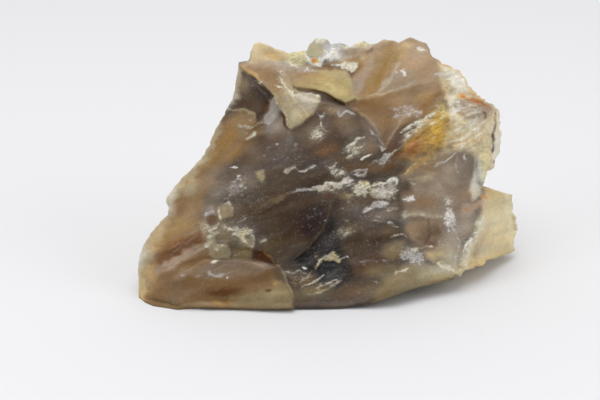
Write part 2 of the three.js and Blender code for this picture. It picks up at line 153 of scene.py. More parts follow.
@dataclass(frozen=True)
class View:
    """The view that the measures are taken in, and where it stands in the row's frame."""

    elevation: float = math.radians(23)
    distance: float = 388.0
    height: float = 17.15
    footprint_centre: tuple[float, float] = (6.4, 4.15)

    @property
    def axes(self) -> np.ndarray:
        """Rows are the unit vectors across, up and towards the viewer."""
        sine, cosine = math.sin(self.elevation), math.cos(self.elevation)
        return np.array(((1.0, 0.0, 0.0), (0.0, sine, cosine), (0.0, -cosine, sine)))

    @property
    def target(self) -> np.ndarray:
        """Point looked at, in the row's frame."""
        return np.array((-self.footprint_centre[0], -self.footprint_centre[1], self.height))

    def in_space(self, across: np.ndarray, up: np.ndarray, depth: np.ndarray) -> np.ndarray:
        """Points in the row's frame: target + (1 - depth / distance)(across, up) + depth to the viewer.

        Args:
            across: distance to the right of the point looked at.
            up: distance above it in the view.
            depth: distance towards the viewer.

        Returns:
            One row of x, y, z for each place.
        """
        shrink = 1 - depth / self.distance
        measures = np.stack((across * shrink, up * shrink, depth), -1)
        return self.target + measures @ self.axes

    def floor_depth(self, up: np.ndarray) -> np.ndarray:
        """Depth at which the line of sight at a height in the view meets the floor."""
        _, upward, towards = self.axes
        return -(self.height + up * upward[2]) / (towards[2] - up * upward[2] / self.distance)


VIEW = View()


def ease(x: np.ndarray) -> np.ndarray:
    """Eases 0..1 with level ends: 3x^2 - 2x^3."""
    x = np.clip(x, 0, 1)
    return x * x * (3 - 2 * x)


def soft_lower(a: np.ndarray, b: np.ndarray, rounding: float) -> np.ndarray:
    """Smaller of two depths, with the crease between them rounded.

    Args:
        a: first depth.
        b: second depth.
        rounding: width of the rounding.

    Returns:
        The mix b + share (a - b), less rounding x share x (1 - share).
    """
    share = np.clip(0.5 + 0.5 * (b - a) / rounding, 0, 1)
    return b + (a - b) * share - rounding * share * (1 - share)


def turned(x: np.ndarray, y: np.ndarray, angle: float) -> tuple[np.ndarray, np.ndarray]:
    """Places measured along and over a direction turned anticlockwise by an angle in radians."""
    cosine, sine = math.cos(angle), math.sin(angle)
    return x * cosine + y * sine, y * cosine - x * sine


def scatter(i: np.ndarray, j: np.ndarray, seed: float) -> np.ndarray:
    """Number 0..1 that looks random but is fixed by two whole numbers and the seed."""
    value = np.sin(i * 127.1 + j * 311.7 + seed * 74.7) * 43758.5453
    return value - np.floor(value)


def unevenness(x: np.ndarray, y: np.ndarray, seed: float) -> np.ndarray:
    """Smooth uneven field from -1 to 1: scattered values at whole numbers, eased between them.

    Args:
        x: first measure, one hill to each unit.
        y: second measure.
        seed: which field.

    Returns:
        The field's value at each place.
    """
    i, j = np.floor(x), np.floor(y)
    fx, fy = ease(x - i), ease(y - j)
    lower = scatter(i, j, seed) * (1 - fx) + scatter(i + 1, j, seed) * fx
    upper = scatter(i, j + 1, seed) * (1 - fx) + scatter(i + 1, j + 1, seed) * fx
    return (lower * (1 - fy) + upper * fy) * 2 - 1


def layered(x: np.ndarray, y: np.ndarray, seed: float, octaves: int) -> np.ndarray:
    """Uneven field with finer ones on it: each is twice as fine, half as high and turned a little.

    Args:
        x: first measure.
        y: second measure.
        seed: which field.
        octaves: number of fields.

    Returns:
        The sum over its greatest possible height.
    """
    total = np.zeros_like(x)
    for k in range(octaves):
        along, over = turned(x, y, -0.6 * k)
        total += 0.5**k * unevenness(along * 2**k + 7.3 * k, over * 2**k, seed + k)
    return total / (2 - 0.5 ** (octaves - 1))


def ridged(x: np.ndarray, y: np.ndarray, seed: float, octaves: int) -> np.ndarray:
    """Uneven field with sharp crests: 1 - 2.6 x the size of the layered field."""
    return 1 - 2.6 * np.abs(layered(x, y, seed, octaves))


def plates(x: np.ndarray, y: np.ndarray, seed: float) -> np.ndarray:
    """Small flat plates round scattered spots, one to each unit square; each leans its own way.

    Args:
        x: first measure.
        y: second measure.
        seed: which scatter.

    Returns:
        Height of the nearest spot's plate at each place.
    """
    nearest = np.full(x.shape, np.inf)
    height = np.zeros(x.shape)
    for di in (-1, 0, 1):
        for dj in (-1, 0, 1):
            i, j = np.floor(x) + di, np.floor(y) + dj
            ox, oy = x - i - scatter(i, j, seed), y - j - scatter(i, j, seed + 1)
            square = ox * ox + oy * oy
            plane = (2 * scatter(i, j, seed + 2) - 1) * ox + (2 * scatter(i, j, seed + 3) - 1) * oy
            plane += scatter(i, j, seed + 4) - 0.5
            height = np.where(square < nearest, plane, height)
            nearest = np.minimum(nearest, square)
    return height


def to_line(
    points: np.ndarray, across: np.ndarray, up: np.ndarray,
) -> tuple[np.ndarray, np.ndarray, np.ndarray]:
    """Nearest distance from each place to a line of points.

    Args:
        points: the line's points, one row each.
        across: places, to the right.
        up: places, upwards.

    Returns:
        The distance, 1 or -1 for the hand of the line, and the share of the way along it
        counted in points.
    """
    nearest = np.full(across.shape, np.inf)
    hand = np.ones(across.shape)
    index = np.zeros(across.shape)
    for k, ((x, y), (to_x, to_y)) in enumerate(zip(points[:-1], points[1:])):
        dx, dy = to_x - x, to_y - y
        along = np.clip(((across - x) * dx + (up - y) * dy) / (dx * dx + dy * dy), 0, 1)
        ox, oy = across - x - along * dx, up - y - along * dy
        square = ox * ox + oy * oy
        closer = square < nearest
        nearest = np.where(closer, square, nearest)
        hand = np.where(closer, np.sign(dx * oy - dy * ox), hand)
        index = np.where(closer, k + along, index)
    return np.sqrt(nearest), hand, index


def is_inside(points: Points, across: np.ndarray, up: np.ndarray) -> np.ndarray:
    """Whether each place is in a closed outline: its ray to the right crosses it an odd number of times.

    Args:
        points: the outline's corners.
        across: places, to the right.
        up: places, upwards.

    Returns:
        True or False for each place.
    """
    inside = np.zeros(across.shape, bool)
    for (x, y), (px, py) in zip(points, points[-1:] + points[:-1]):
        if y != py:
            crosses = ((y > up) != (py > up)) & (across < x + (up - y) / (py - y) * (px - x))
            inside ^= crosses
    return inside


def cover(points: Points, edge: float, across: np.ndarray, up: np.ndarray) -> np.ndarray:
    """1 inside a closed outline and 0 outside, passing over within the width of its edge.

    Args:
        points: the outline's corners.
        edge: width over which it passes.
        across: places, to the right.
        up: places, upwards.

    Returns:
        The cover 0..1 of each place.
    """
    distance, _, _ = to_line(np.array(points + points[:1]), across, up)
    signed = np.where(is_inside(points, across, up), distance, -distance)
    return ease(signed / edge + 0.5)


@dataclass(frozen=True)
class Face:
    """Flat face: the compass side and slope that it looks to, in degrees, and a place on it."""

    side: float
    slope: float
    through: tuple[float, float, float]

    def depth(self, across: np.ndarray, up: np.ndarray) -> np.ndarray:
        """Depth at which the line of sight meets the face's plane.

        Args:
            across: places, to the right.
            up: places, upwards.

        Returns:
            The depth at each place.
        """
        side, slope = math.radians(self.side), math.radians(self.slope)
        level = math.cos(slope)
        normal = np.array((math.sin(side) * level, -math.cos(side) * level, math.sin(slope)))
        eye = VIEW.target + VIEW.distance * VIEW.axes[2]
        sight = np.stack((across, up, np.full(across.shape, -VIEW.distance)), -1) @ VIEW.axes
        on_face = VIEW.in_space(*(np.array(measure) for measure in self.through))
        reach = normal @ (on_face - eye) / (sight @ normal)
        return VIEW.distance * (1 - reach)


@dataclass(frozen=True)
class Scar:
    """Shell-like scar: a dished hollow with a round edge."""

    at: tuple[float, float]
    radius: float
    depth: float

    def cut(self, across: np.ndarray, up: np.ndarray) -> np.ndarray:
        """Depth cut away: full at the middle, falling with the square of the distance."""
        share = ((across - self.at[0]) ** 2 + (up - self.at[1]) ** 2) / self.radius**2
        return self.depth * np.maximum(0, 1 - share)


@dataclass(frozen=True)
class Ledge:
    """Flake or ledge that stands proud, or a chip where the lift is minus.

    With a slant the lift grows from nothing at its first place to full at its second.
    """

    outline: Points
    lift: float
    edge: float
    slant: Points = ()

    def height(self, across: np.ndarray, up: np.ndarray) -> np.ndarray:
        """Lift x cover x share of the way along the slant.

        Args:
            across: places, to the right.
            up: places, upwards.

        Returns:
            The height to add at each place.
        """
        amount = self.lift * cover(self.outline, self.edge, across, up)
        if not self.slant:
            return amount
        (x, y), (to_x, to_y) = self.slant
        run = np.array((to_x - x, to_y - y))
        share = ((across - x) * run[0] + (up - y) * run[1]) / (run @ run)
        return amount * np.clip(share, 0, 1.3)


@dataclass(frozen=True)
class Ridge:
    """Rounded ridge along a line, or a gap where the height is minus."""

    along: Points
    height: float
    width: float

    def lift(self, across: np.ndarray, up: np.ndarray) -> np.ndarray:
        """Height x exp(-(distance / width)^2)."""
        distance, _, _ = to_line(np.array(self.along), across, up)
        return self.height * np.exp(-((distance / self.width) ** 2))


FRONT_FACES = (
    Face(0, 29, (0, 0, 5.2)),  # broad dark face
    Face(-30, 22, (-23, -14, 7.2)),  # lower left
    Face(-25, 36, (-14, 8, 3.9)),  # upper left
    Face(14, 43, (14, 18, 2.0)),  # brown face under the crest
    Face(10, 63, (16, 21, 0.6)),  # tan face at the crest
    Face(-4, 82, (-2, 25.4, 2.0)),  # shelf at the top left
    Face(27, 25, (27, 0, 2.2)),  # right-hand face
    Face(58, 14, (38.4, 12, -6.0)),  # chalky edge
)
BACK_FACES = (
    Face(176, -4, (0, 30, -14.5)),
    Face(215, -10, (-32, -12, -2.5)),
    Face(115, 4, (40.2, 10, -13.0)),
    Face(182, -38, (5, -6, -22.0)),
)
FRONT_SCARS = (
    Scar((-9.5, 2.5), 11, 0.9),
    Scar((9, -12), 10.5, 1.1),
    Scar((24, -13), 8, 0.9),
    Scar((-22, -8), 7, 0.8),
    Scar((20.5, 26.5), 8.5, 1.2),
    Scar((28.5, 20.5), 7, 0.9),
    Scar((31, 4.5), 5.5, 0.8),
    Scar((-12, -17), 7.5, 0.6),
)
BACK_SCARS = (
    Scar((9, 4), 15, 2.8),
    Scar((-9, -3), 10, 2.2),
    Scar((27, 12), 9, 2.0),
    Scar((24, -8), 9, 2.0),
    Scar((0, 20), 8, 1.8),
    Scar((-20, -6), 8, 1.4),
)
POINTED_FLAKE: Points = (
    (-7.6, 23.2), (-5.0, 24.0), (-3.4, 25.4), (-2.0, 24.4), (-1.4, 22.4), (0.0, 21.6), (4.0, 21.0),
    (4.4, 20.2), (2.4, 17.0), (0.0, 15.0), (-2.0, 14.0), (-3.2, 17.0), (-5.0, 20.4),
)
CRESCENT_FLAKE: Points = (
    (-1.6, 24.0), (0, 25.2), (3, 25.6), (6, 25.9), (9, 25.4), (10.6, 23.6), (11.2, 20.2), (9, 19.2),
    (7, 20.2), (5, 21.4), (2, 22.2), (-1, 22.4),
)
LEDGES = (
    Ledge(POINTED_FLAKE, 1.0, 0.35, ((-5, 28), (-1, 15.5))),
    Ledge(CRESCENT_FLAKE, 0.75, 0.6, ((4, 26.5), (6.5, 20.6))),
    # amber lobe
    Ledge(((-16, 18.6), (-13.4, 18.4), (-10, 17.6), (-9, 17), (-8.6, 15.6), (-9.4, 13.6), (-12, 10),
          (-16, 6), (-22, 4), (-22, 14)), 0.9, 0.7, ((-16, 9), (-10.5, 16.5))),
    # grey lobe
    Ledge(((0, 20), (6, 19.6), (10, 18.4), (13, 17), (15.6, 14), (17, 10.4), (14, 7), (6, 4), (-4, 8)), 1.4,
          0.9, ((5, 5), (12.5, 15.5))),
    # thin tail, set back
    Ledge(((35.6, 3.4), (37.2, 2.6), (44, 3), (45, -8), (38, -16), (33, -14.2), (34.4, -9), (36.4, -6),
          (37, -2.6)), -1.7, 1.2),
    # pale blade beside the tail
    Ledge(((32, -13.4), (32.2, -10), (33.6, -8), (35.4, -5.6), (36, -6), (35.8, -8.6), (34.4, -11),
          (33.6, -14)), 0.8, 0.6, ((32, -8), (35.4, -10))),
    # lower left block
    Ledge(((-19, -12), (-12, -12), (-8.6, -12.4), (-6.4, -13.4), (-4.4, -13.2), (-3.2, -15.4),
          (-2.4, -17.6), (-1.4, -19.6), (-1.2, -24), (-24, -24), (-26, -16)), 1.4, 0.5, ((-26, -19),
          (-5, -13))),
    # three small plates
    Ledge(((-16.4, -0.6), (-13.6, -0.8), (-13.4, -3.4), (-15, -4.2), (-16.8, -3)), 0.45, 0.5, ((-17, 0),
          (-14, -4))),
    Ledge(((-14, -5.6), (-10.4, -6), (-9, -7.4), (-9, -9.6), (-12, -9.8), (-14.4, -8.4)), 0.55, 0.5,
          ((-14, -5), (-9.5, -9))),
    Ledge(((-18.4, -8), (-14.2, -8.2), (-14.4, -11.8), (-17.6, -11.8), (-18.4, -10)), 0.5, 0.5, ((-19, -8),
          (-15, -11))),
    # three-cornered chip, square chip on the right, dark pit near the foot, pale flake in the middle
    Ledge(((-9.6, -10), (-6.4, -10.8), (-4.8, -13), (-6.6, -13.4), (-9.4, -12.2)), -0.9, 0.8),
    Ledge(((20, -3.8), (28.8, -3.6), (29, -9), (25.4, -9.2), (20.8, -7)), -0.6, 1.0, ((29, -9.5),
          (24, -4))),
    Ledge(((3.8, -12), (5.6, -11.4), (8.4, -12), (9.6, -13.6), (8.4, -15.8), (5.4, -16), (3.8, -14)), -1.3,
          2.4, ((9, -17), (5, -12))),
    Ledge(((13.6, 4), (19.4, 4.4), (18.6, 0), (15, 0), (13.2, 1.6)), 0.6, 0.5, ((13, 3), (18, 0.6))),
)
RIDGES = (
    # gap under the crescent flake, and low ridge on the brown face
    Ridge(((-1.4, 22.3), (1, 21.8), (4.4, 21.3), (6.6, 19.9), (8.6, 18.9)), -0.35, 0.45),
    Ridge(((17, 10), (20, 15), (23.6, 18)), 0.5, 0.9),
)
HOLLOW: Points = (
    (-13, 27.2), (-12.2, 26.8), (-7.6, 23.2), (-5, 20.4), (-6, 19), (-6.4, 17.6), (-8.6, 15.6), (-9, 17),
    (-10, 17.6), (-14.4, 18.4),
)
SHELF_EDGE: Points = ((-12.4, 27.4), (-2, 14))
STEP: Points = (
    (7.5, 6), (6.6, 1), (6, -1), (5.4, -4), (4, -6.4), (2, -8.8), (0, -10.6), (-2, -12.4), (-3.8, -13.4),
)
BACK_ROW: Points = (
    (-12, 27.6), (-9.6, 27.5), (-2.4, 26.9), (2, 26.8), (6, 27.2), (11.6, 28), (14.6, 30.4), (15, 34),
    (-12, 34),
)
BACK_ROW_FACE = Face(0, 48, (0, 28.5, -5.4))
RIND: Points = (
    (28, 28), (29.4, 23.2), (26.6, 20.4), (23.6, 16.4), (20, 12), (20.4, 8.4), (25, 6.8), (30, 9.6),
    (35.6, 10), (36.4, 2.8), (42, 3), (42, 18), (34, 27),
)


class Rim:
    """The outline as a set number of points, with the depth and rounding of the edge at each."""

    def __init__(self, form: "StoneForm", count: int) -> None:
        """Splits the outline's longest pieces until there are enough points; every corner is kept.

        Args:
            form: the stone's form, which gives the depth at each point.
            count: number of points.
        """
        start = np.array(OUTLINE)
        end = np.roll(start, -1, 0)
        length = np.hypot(*(end - start).T)
        parts = np.ones(len(start), int)
        while parts.sum() < count:
            parts[np.argmax(length / parts)] += 1
        piece = np.repeat(np.arange(len(start)), parts)
        share = np.concatenate([np.arange(n) / n for n in parts])[:, None]
        straight = start[piece] * (1 - share) + end[piece] * share
        self.points = straight + form.edge_shift(*straight.T)
        across, up = self.points.T
        self.rounding = form.edge_round(across, up)
        self.depth = np.maximum(form.front(across, up) - self.rounding, VIEW.floor_depth(up))

    @property
    def closed(self) -> np.ndarray:
        """The points with the first one again at the end."""
        return np.vstack((self.points, self.points[:1]))

    def value(self, values: np.ndarray, index: np.ndarray) -> np.ndarray:
        """A value of the rim between two of its points."""
        return np.interp(index, np.arange(len(values) + 1), np.append(values, values[0]))


@dataclass(frozen=True)
class StoneForm:
    """The broken piece's form, as the depth of its two sides at any place in the view."""

    step_drop: float = 1.4
    step_edge: float = 1.0
    step_reach: float = 7.0
    hollow_edge: float = 0.5
    hollow_slope: float = 0.25
    hollow_depth: float = 1.3
    back_row_lumps: float = 1.2
    edge_rounding: float = 0.5
    left_rounding: float = 2.1
    edge_wander: float = 0.3
    rind_wander: float = 0.4
    back_fall: float = 1.6
    foot_fall: float = 3.5
    tail_fall: float = 0.7
    swell: float = 0.5
    grain: float = 0.45
    back_swell: float = 0.9
    back_plates: float = 0.14
    chip_height: float = 0.5
    fine_chip_height: float = 0.14

    def front(self, across: np.ndarray, up: np.ndarray) -> np.ndarray:
        """Seen side: the lowest of the faces, less scars, hollow and step, plus ledges and ridges.

        Args:
            across: places, to the right.
            up: places, upwards.

        Returns:
            The depth at each place, before small relief and edge rounding.
        """
        depth = FRONT_FACES[0].depth(across, up)
        for face in FRONT_FACES[1:]:
            depth = soft_lower(depth, face.depth(across, up), 0.3)
        for scar in FRONT_SCARS:
            depth = depth - scar.cut(across, up)
        to_shelf, _, _ = to_line(np.array(SHELF_EDGE), across, up)
        hollow = np.minimum(self.hollow_depth, self.hollow_edge + self.hollow_slope * to_shelf)
        depth = depth - hollow * cover(HOLLOW, 0.5, across, up)
        depth = depth - self.step_cut(across, up)
        for ledge in LEDGES:
            depth = depth + ledge.height(across, up)
        for ridge in RIDGES:
            depth = depth + ridge.lift(across, up)
        row = BACK_ROW_FACE.depth(across, up)
        row = row + self.back_row_lumps * layered(across / 3.1, up / 2.4, 3, 1)
        share = cover(BACK_ROW, 0.6, across, up)
        return depth * (1 - share) + row * share

    def step_cut(self, across: np.ndarray, up: np.ndarray) -> np.ndarray:
        """Drop on the lower right side of the curved step, easing in at its edge and dying away from it.

        Args:
            across: places, to the right.
            up: places, upwards.

        Returns:
            The depth to take away at each place.
        """
        distance, hand, _ = to_line(np.array(STEP), across, up)
        top, foot = STEP[0][1], STEP[-1][1]
        ends = ease((top - up) / 9) * ease((up - foot) / 2)
        fall = self.step_drop * ends * ease(distance / self.step_edge) * np.exp(-distance / self.step_reach)
        return np.where((hand > 0) & (up < top) & (up > foot), fall, 0)

    def relief(self, across: np.ndarray, up: np.ndarray) -> np.ndarray:
        """Small uneven relief: swells, grain drawn out along the stone, and chips on the chalky rind.

        Args:
            across: places, to the right.
            up: places, upwards.

        Returns:
            The height to add at each place.
        """
        along, over = on_grain(across, up)
        rind = cover(RIND, 1.6, across, up)
        height = self.swell * layered(across / 9, up / 7, 5, 2)
        height += self.grain * layered(along / 10, over / 3.6, 21, 2)
        height += rind * self.chip_height * ridged(across / 3.6, up / 3.0, 31, 3)
        return height + rind * self.fine_chip_height * ridged(along / 1.3, over / 0.9, 41, 2)

    def back(self, across: np.ndarray, up: np.ndarray) -> np.ndarray:
        """Hidden side: the highest of its faces, plus scars and swells.

        Args:
            across: places, to the right.
            up: places, upwards.

        Returns:
            The depth at each place, before it is closed on the outline.
        """
        depth = -BACK_FACES[0].depth(across, up)
        for face in BACK_FACES[1:]:
            depth = soft_lower(depth, -face.depth(across, up), 0.5)
        depth = -depth
        for scar in BACK_SCARS:
            depth = depth + scar.cut(across, up)
        depth = depth + self.back_plates * plates(across / 3.2, up / 2.2, 71)
        return depth + self.back_swell * layered(across / 9, up / 7, 11, 4)

    def edge_round(self, across: np.ndarray, up: np.ndarray) -> np.ndarray:
        """How far the surface rounds over at the outline: more on the lower left."""
        left = ease((-18 - across) / 6) * ease((6 - up) / 6)
        return self.edge_rounding + (self.left_rounding - self.edge_rounding) * left

    def edge_shift(self, across: np.ndarray, up: np.ndarray) -> np.ndarray:
        """Shift in or out of points on the broken edge: an uneven field, most at the rind, 0 at the foot.

        Args:
            across: the points' places, to the right.
            up: the points' places, upwards.

        Returns:
            One row of shifts for each point, away from the sheets' middle.
        """
        most = (self.edge_wander + self.rind_wander * ease((across - 24) / 6)) * ease((up + 20) / 6)
        outward = np.stack((across, up), 1) - SHEET_MIDDLE
        outward /= np.hypot(*outward.T)[:, None]
        return (most * layered(across / 1.1, up / 1.1, 91, 3))[:, None] * outward

    def fall(self, across: np.ndarray, up: np.ndarray) -> np.ndarray:
        """How steeply the hidden side falls away from the outline: more at the foot, less at the tail.

        Args:
            across: places, to the right.
            up: places, upwards.

        Returns:
            Depth lost for each millimetre away from the outline.
        """
        foot = ease((-6 - up) / 5)
        tail = ease((across - 33) / 3) * ease((6 - up) / 3) * ease((up + 12) / 3)
        steeper, gentler = self.foot_fall - self.back_fall, self.back_fall - self.tail_fall
        return self.back_fall + steeper * foot - gentler * tail

    def back_depth(
        self, across: np.ndarray, up: np.ndarray, rim: Rim, distance: np.ndarray, index: np.ndarray,
    ) -> np.ndarray:
        """Hidden side closed on the outline: never behind the rim's own fall, never under the floor.

        Args:
            across: places, to the right.
            up: places, upwards.
            rim: the outline.
            distance: distance of each place from the outline.
            index: the outline's nearest place to each, counted in its points.

        Returns:
            The depth at each place.
        """
        closing = rim.value(rim.depth, index) - self.fall(across, up) * distance
        return np.maximum(np.maximum(self.back(across, up), closing), VIEW.floor_depth(up))

    def front_depth(
        self, across: np.ndarray, up: np.ndarray, rim: Rim, raised: np.ndarray,
    ) -> np.ndarray:
        """Seen side with its relief, closed on the outline by a round edge.

        Args:
            across: places, to the right.
            up: places, upwards.
            rim: the outline.
            raised: height of the marks that stand proud.

        Returns:
            The depth at each place: form + relief - rounding x (1 - sqrt(1 - inward^2)).
        """
        distance, _, index = to_line(rim.closed, across, up)
        rounding = rim.value(rim.rounding, index)
        inward = np.maximum(0, 1 - distance / rounding)
        depth = self.front(across, up) + ease(distance / 1.5) * (self.relief(across, up) + raised)
        depth = depth - rounding * (1 - np.sqrt(1 - inward * inward))
        back = self.back_depth(across, up, rim, distance, index)
        return np.maximum(depth, back + LEAST_THICKNESS * ease(distance / 0.6))


def on_grain(across: np.ndarray, up: np.ndarray) -> tuple[np.ndarray, np.ndarray]:
    """Measures along the stone's grain and over it, which rises to the right."""
    return turned(across, up, GRAIN_ANGLE)


def clouds(along: np.ndarray, over: np.ndarray, seed: float, octaves: int) -> np.ndarray:
    """Uneven field 0..1: half of 1 + the layered field."""
    return 0.5 + 0.5 * layered(along, over, seed, octaves)


@dataclass(frozen=True)
class Spots:
    """Places on a sheet, and the same places drawn a little aside so that a mark's edge is ragged."""

    across: np.ndarray
    up: np.ndarray

    @classmethod
    def ragged(cls, across: np.ndarray, up: np.ndarray) -> "Spots":
        """Moves each place aside and up by two uneven fields."""
        aside, upward = (layered(across / WAVE_LENGTH, up / WAVE_LENGTH, seed, 3) for seed in (61, 67))
        return cls(across + WAVER * aside, up + WAVER * upward)

    def chosen(self, which: np.ndarray) -> "Spots":
        """Only the places with these numbers."""
        return Spots(self.across[which], self.up[which])


@dataclass(frozen=True, kw_only=True)
class Mark:
    """Something laid on the stone at places in the view.

    With chalk it lies on the ground colour as a crust of small flecks, as matt and opaque as
    the chalk says, and its strength is how thickly they lie. Without, it tints the ground.
    Lift is how far it stands proud, crumb how crumbly the ground is under it, broken the share
    lost in gaps along the grain, and varied the share by which it comes and goes in clouds.
    """

    chalk: float = 0.0
    lift: float = 0.0
    crumb: float = 0.0
    broken: float = 0.0
    varied: float = 0.12
    seed: float = 0.0

    def share(self, spots: Spots) -> np.ndarray:
        """Cover 0..1: its shape, thinner in small clouds, less the gaps where a streaky field is low.

        Args:
            spots: places on a sheet.

        Returns:
            The cover of each place.
        """
        shape = self.shape(spots)
        along, over = on_grain(spots.across, spots.up)
        if self.varied:
            cloud = clouds(along / 1.9, over / 1.1, 76 + self.seed, 2)
            shape = shape * (1 - self.varied * ease(1.3 * cloud))
        if self.broken:
            field = clouds(along / 1.6, over / 0.7, 80 + self.seed, 3)
            shape = shape * ease((field - self.broken + 0.22) / 0.30)
        return shape


@dataclass(frozen=True)
class Patch(Mark):
    """Area inside a closed outline."""

    hue: Hue
    line: Points
    edge: float = 0.6
    strength: float = 0.9

    @property
    def box(self) -> tuple[np.ndarray, np.ndarray]:
        """Lowest and highest places that it can reach."""
        return np.min(self.line, 0) - self.edge, np.max(self.line, 0) + self.edge

    def shape(self, spots: Spots) -> np.ndarray:
        """Cover 0..1 before gaps: the inside of the outline. A crust thins out over twice the width."""
        return cover(self.line, self.edge * (2 if self.chalk else 1), spots.across, spots.up)


@dataclass(frozen=True)
class Blob(Mark):
    """Soft oval: where its middle is, half its length and half its width, and its turn in degrees."""

    hue: Hue
    at: tuple[float, float]
    size: tuple[float, float]
    turn: float = 0.0
    strength: float = 0.9
    soft: float = 1.0

    @property
    def box(self) -> tuple[np.ndarray, np.ndarray]:
        """Lowest and highest places that it can reach."""
        return np.array(self.at) - max(self.size), np.array(self.at) + max(self.size)

    def shape(self, spots: Spots) -> np.ndarray:
        """Eased fall of 1 - the distance in half lengths and half widths, over the soft share.

        Args:
            spots: places on a sheet.

        Returns:
            The cover 0..1 of each place, before gaps.
        """
        x, y = turned(spots.across - self.at[0], spots.up - self.at[1], math.radians(self.turn))
        far = np.hypot(x / self.size[0], y / self.size[1])
        return ease((1 - far) / self.soft)


@dataclass(frozen=True)
class Stroke(Mark):
    """Line as wide as given at its middle, and thinner at its ends."""

    hue: Hue
    line: Points
    width: float = 0.5
    strength: float = 0.9

    @property
    def box(self) -> tuple[np.ndarray, np.ndarray]:
        """Lowest and highest places that it can reach."""
        return np.min(self.line, 0) - self.width - 0.2, np.max(self.line, 0) + self.width + 0.2

    def shape(self, spots: Spots) -> np.ndarray:
        """Eased fall from the line to its half width, which comes and goes and narrows at both ends.

        Args:
            spots: places on a sheet.

        Returns:
            The cover 0..1 of each place, before gaps.
        """
        distance, _, index = to_line(np.array(self.line), spots.across, spots.up)
        way = index / (len(self.line) - 1)
        half = 0.5 * self.width * (0.4 + 0.6 * ease(np.minimum(way, 1 - way) * 4))
        half = half * (1 + 0.5 * unevenness(spots.across / 0.9, spots.up / 0.9, 70 + self.seed))
        return ease((half - distance) / (0.5 * self.width + 0.12) + 0.5)


@dataclass(frozen=True)
class Wisps(Mark):
    """Thin streaks along the grain in an oval: how long, how thin, and how far they lean from it."""

    hue: Hue
    at: tuple[float, float]
    size: tuple[float, float]
    turn: float = 0.0
    strength: float = 0.6
    long: float = 4.0
    thin: float = 0.5
    amount: float = 0.4
    lean: float = 0.0

    @property
    def area(self) -> Blob:
        """The oval that they lie in."""
        return Blob(self.hue, self.at, self.size, self.turn, 1.0, 0.6)

    @property
    def box(self) -> tuple[np.ndarray, np.ndarray]:
        """Lowest and highest places that they can reach."""
        return self.area.box

    def shape(self, spots: Spots) -> np.ndarray:
        """Where a field drawn out along the grain, or leaning from it, is high, inside the oval.

        Args:
            spots: places on a sheet.

        Returns:
            The cover 0..1 of each place, before gaps.
        """
        along, over = on_grain(*turned(spots.across, spots.up, math.radians(self.lean)))
        field = clouds(along / self.long, over / self.thin, 100 + self.seed, 3)
        return ease((field - 1 + self.amount) / 0.28) * self.area.shape(spots)


def lace(
    at: tuple[float, float], size: tuple[float, float], turn: float = 20.0, strength: float = 0.4,
    hue: Hue = Hue.LILAC, chalk: float = 0.45,
) -> Blob:
    """Oval of fine flecks, thickest at its middle.

    Args:
        at: the oval's middle.
        size: half its length and half its width.
        turn: its turn in degrees.
        strength: how thickly the flecks lie at the middle.
        hue: their colour.
        chalk: how opaque they are.

    Returns:
        The mark.
    """
    return Blob(hue, at, size, turn, strength, chalk=chalk, varied=0.2)


WHOLE: Points = ((-45, -30), (-45, 40), (50, 40), (50, -30))

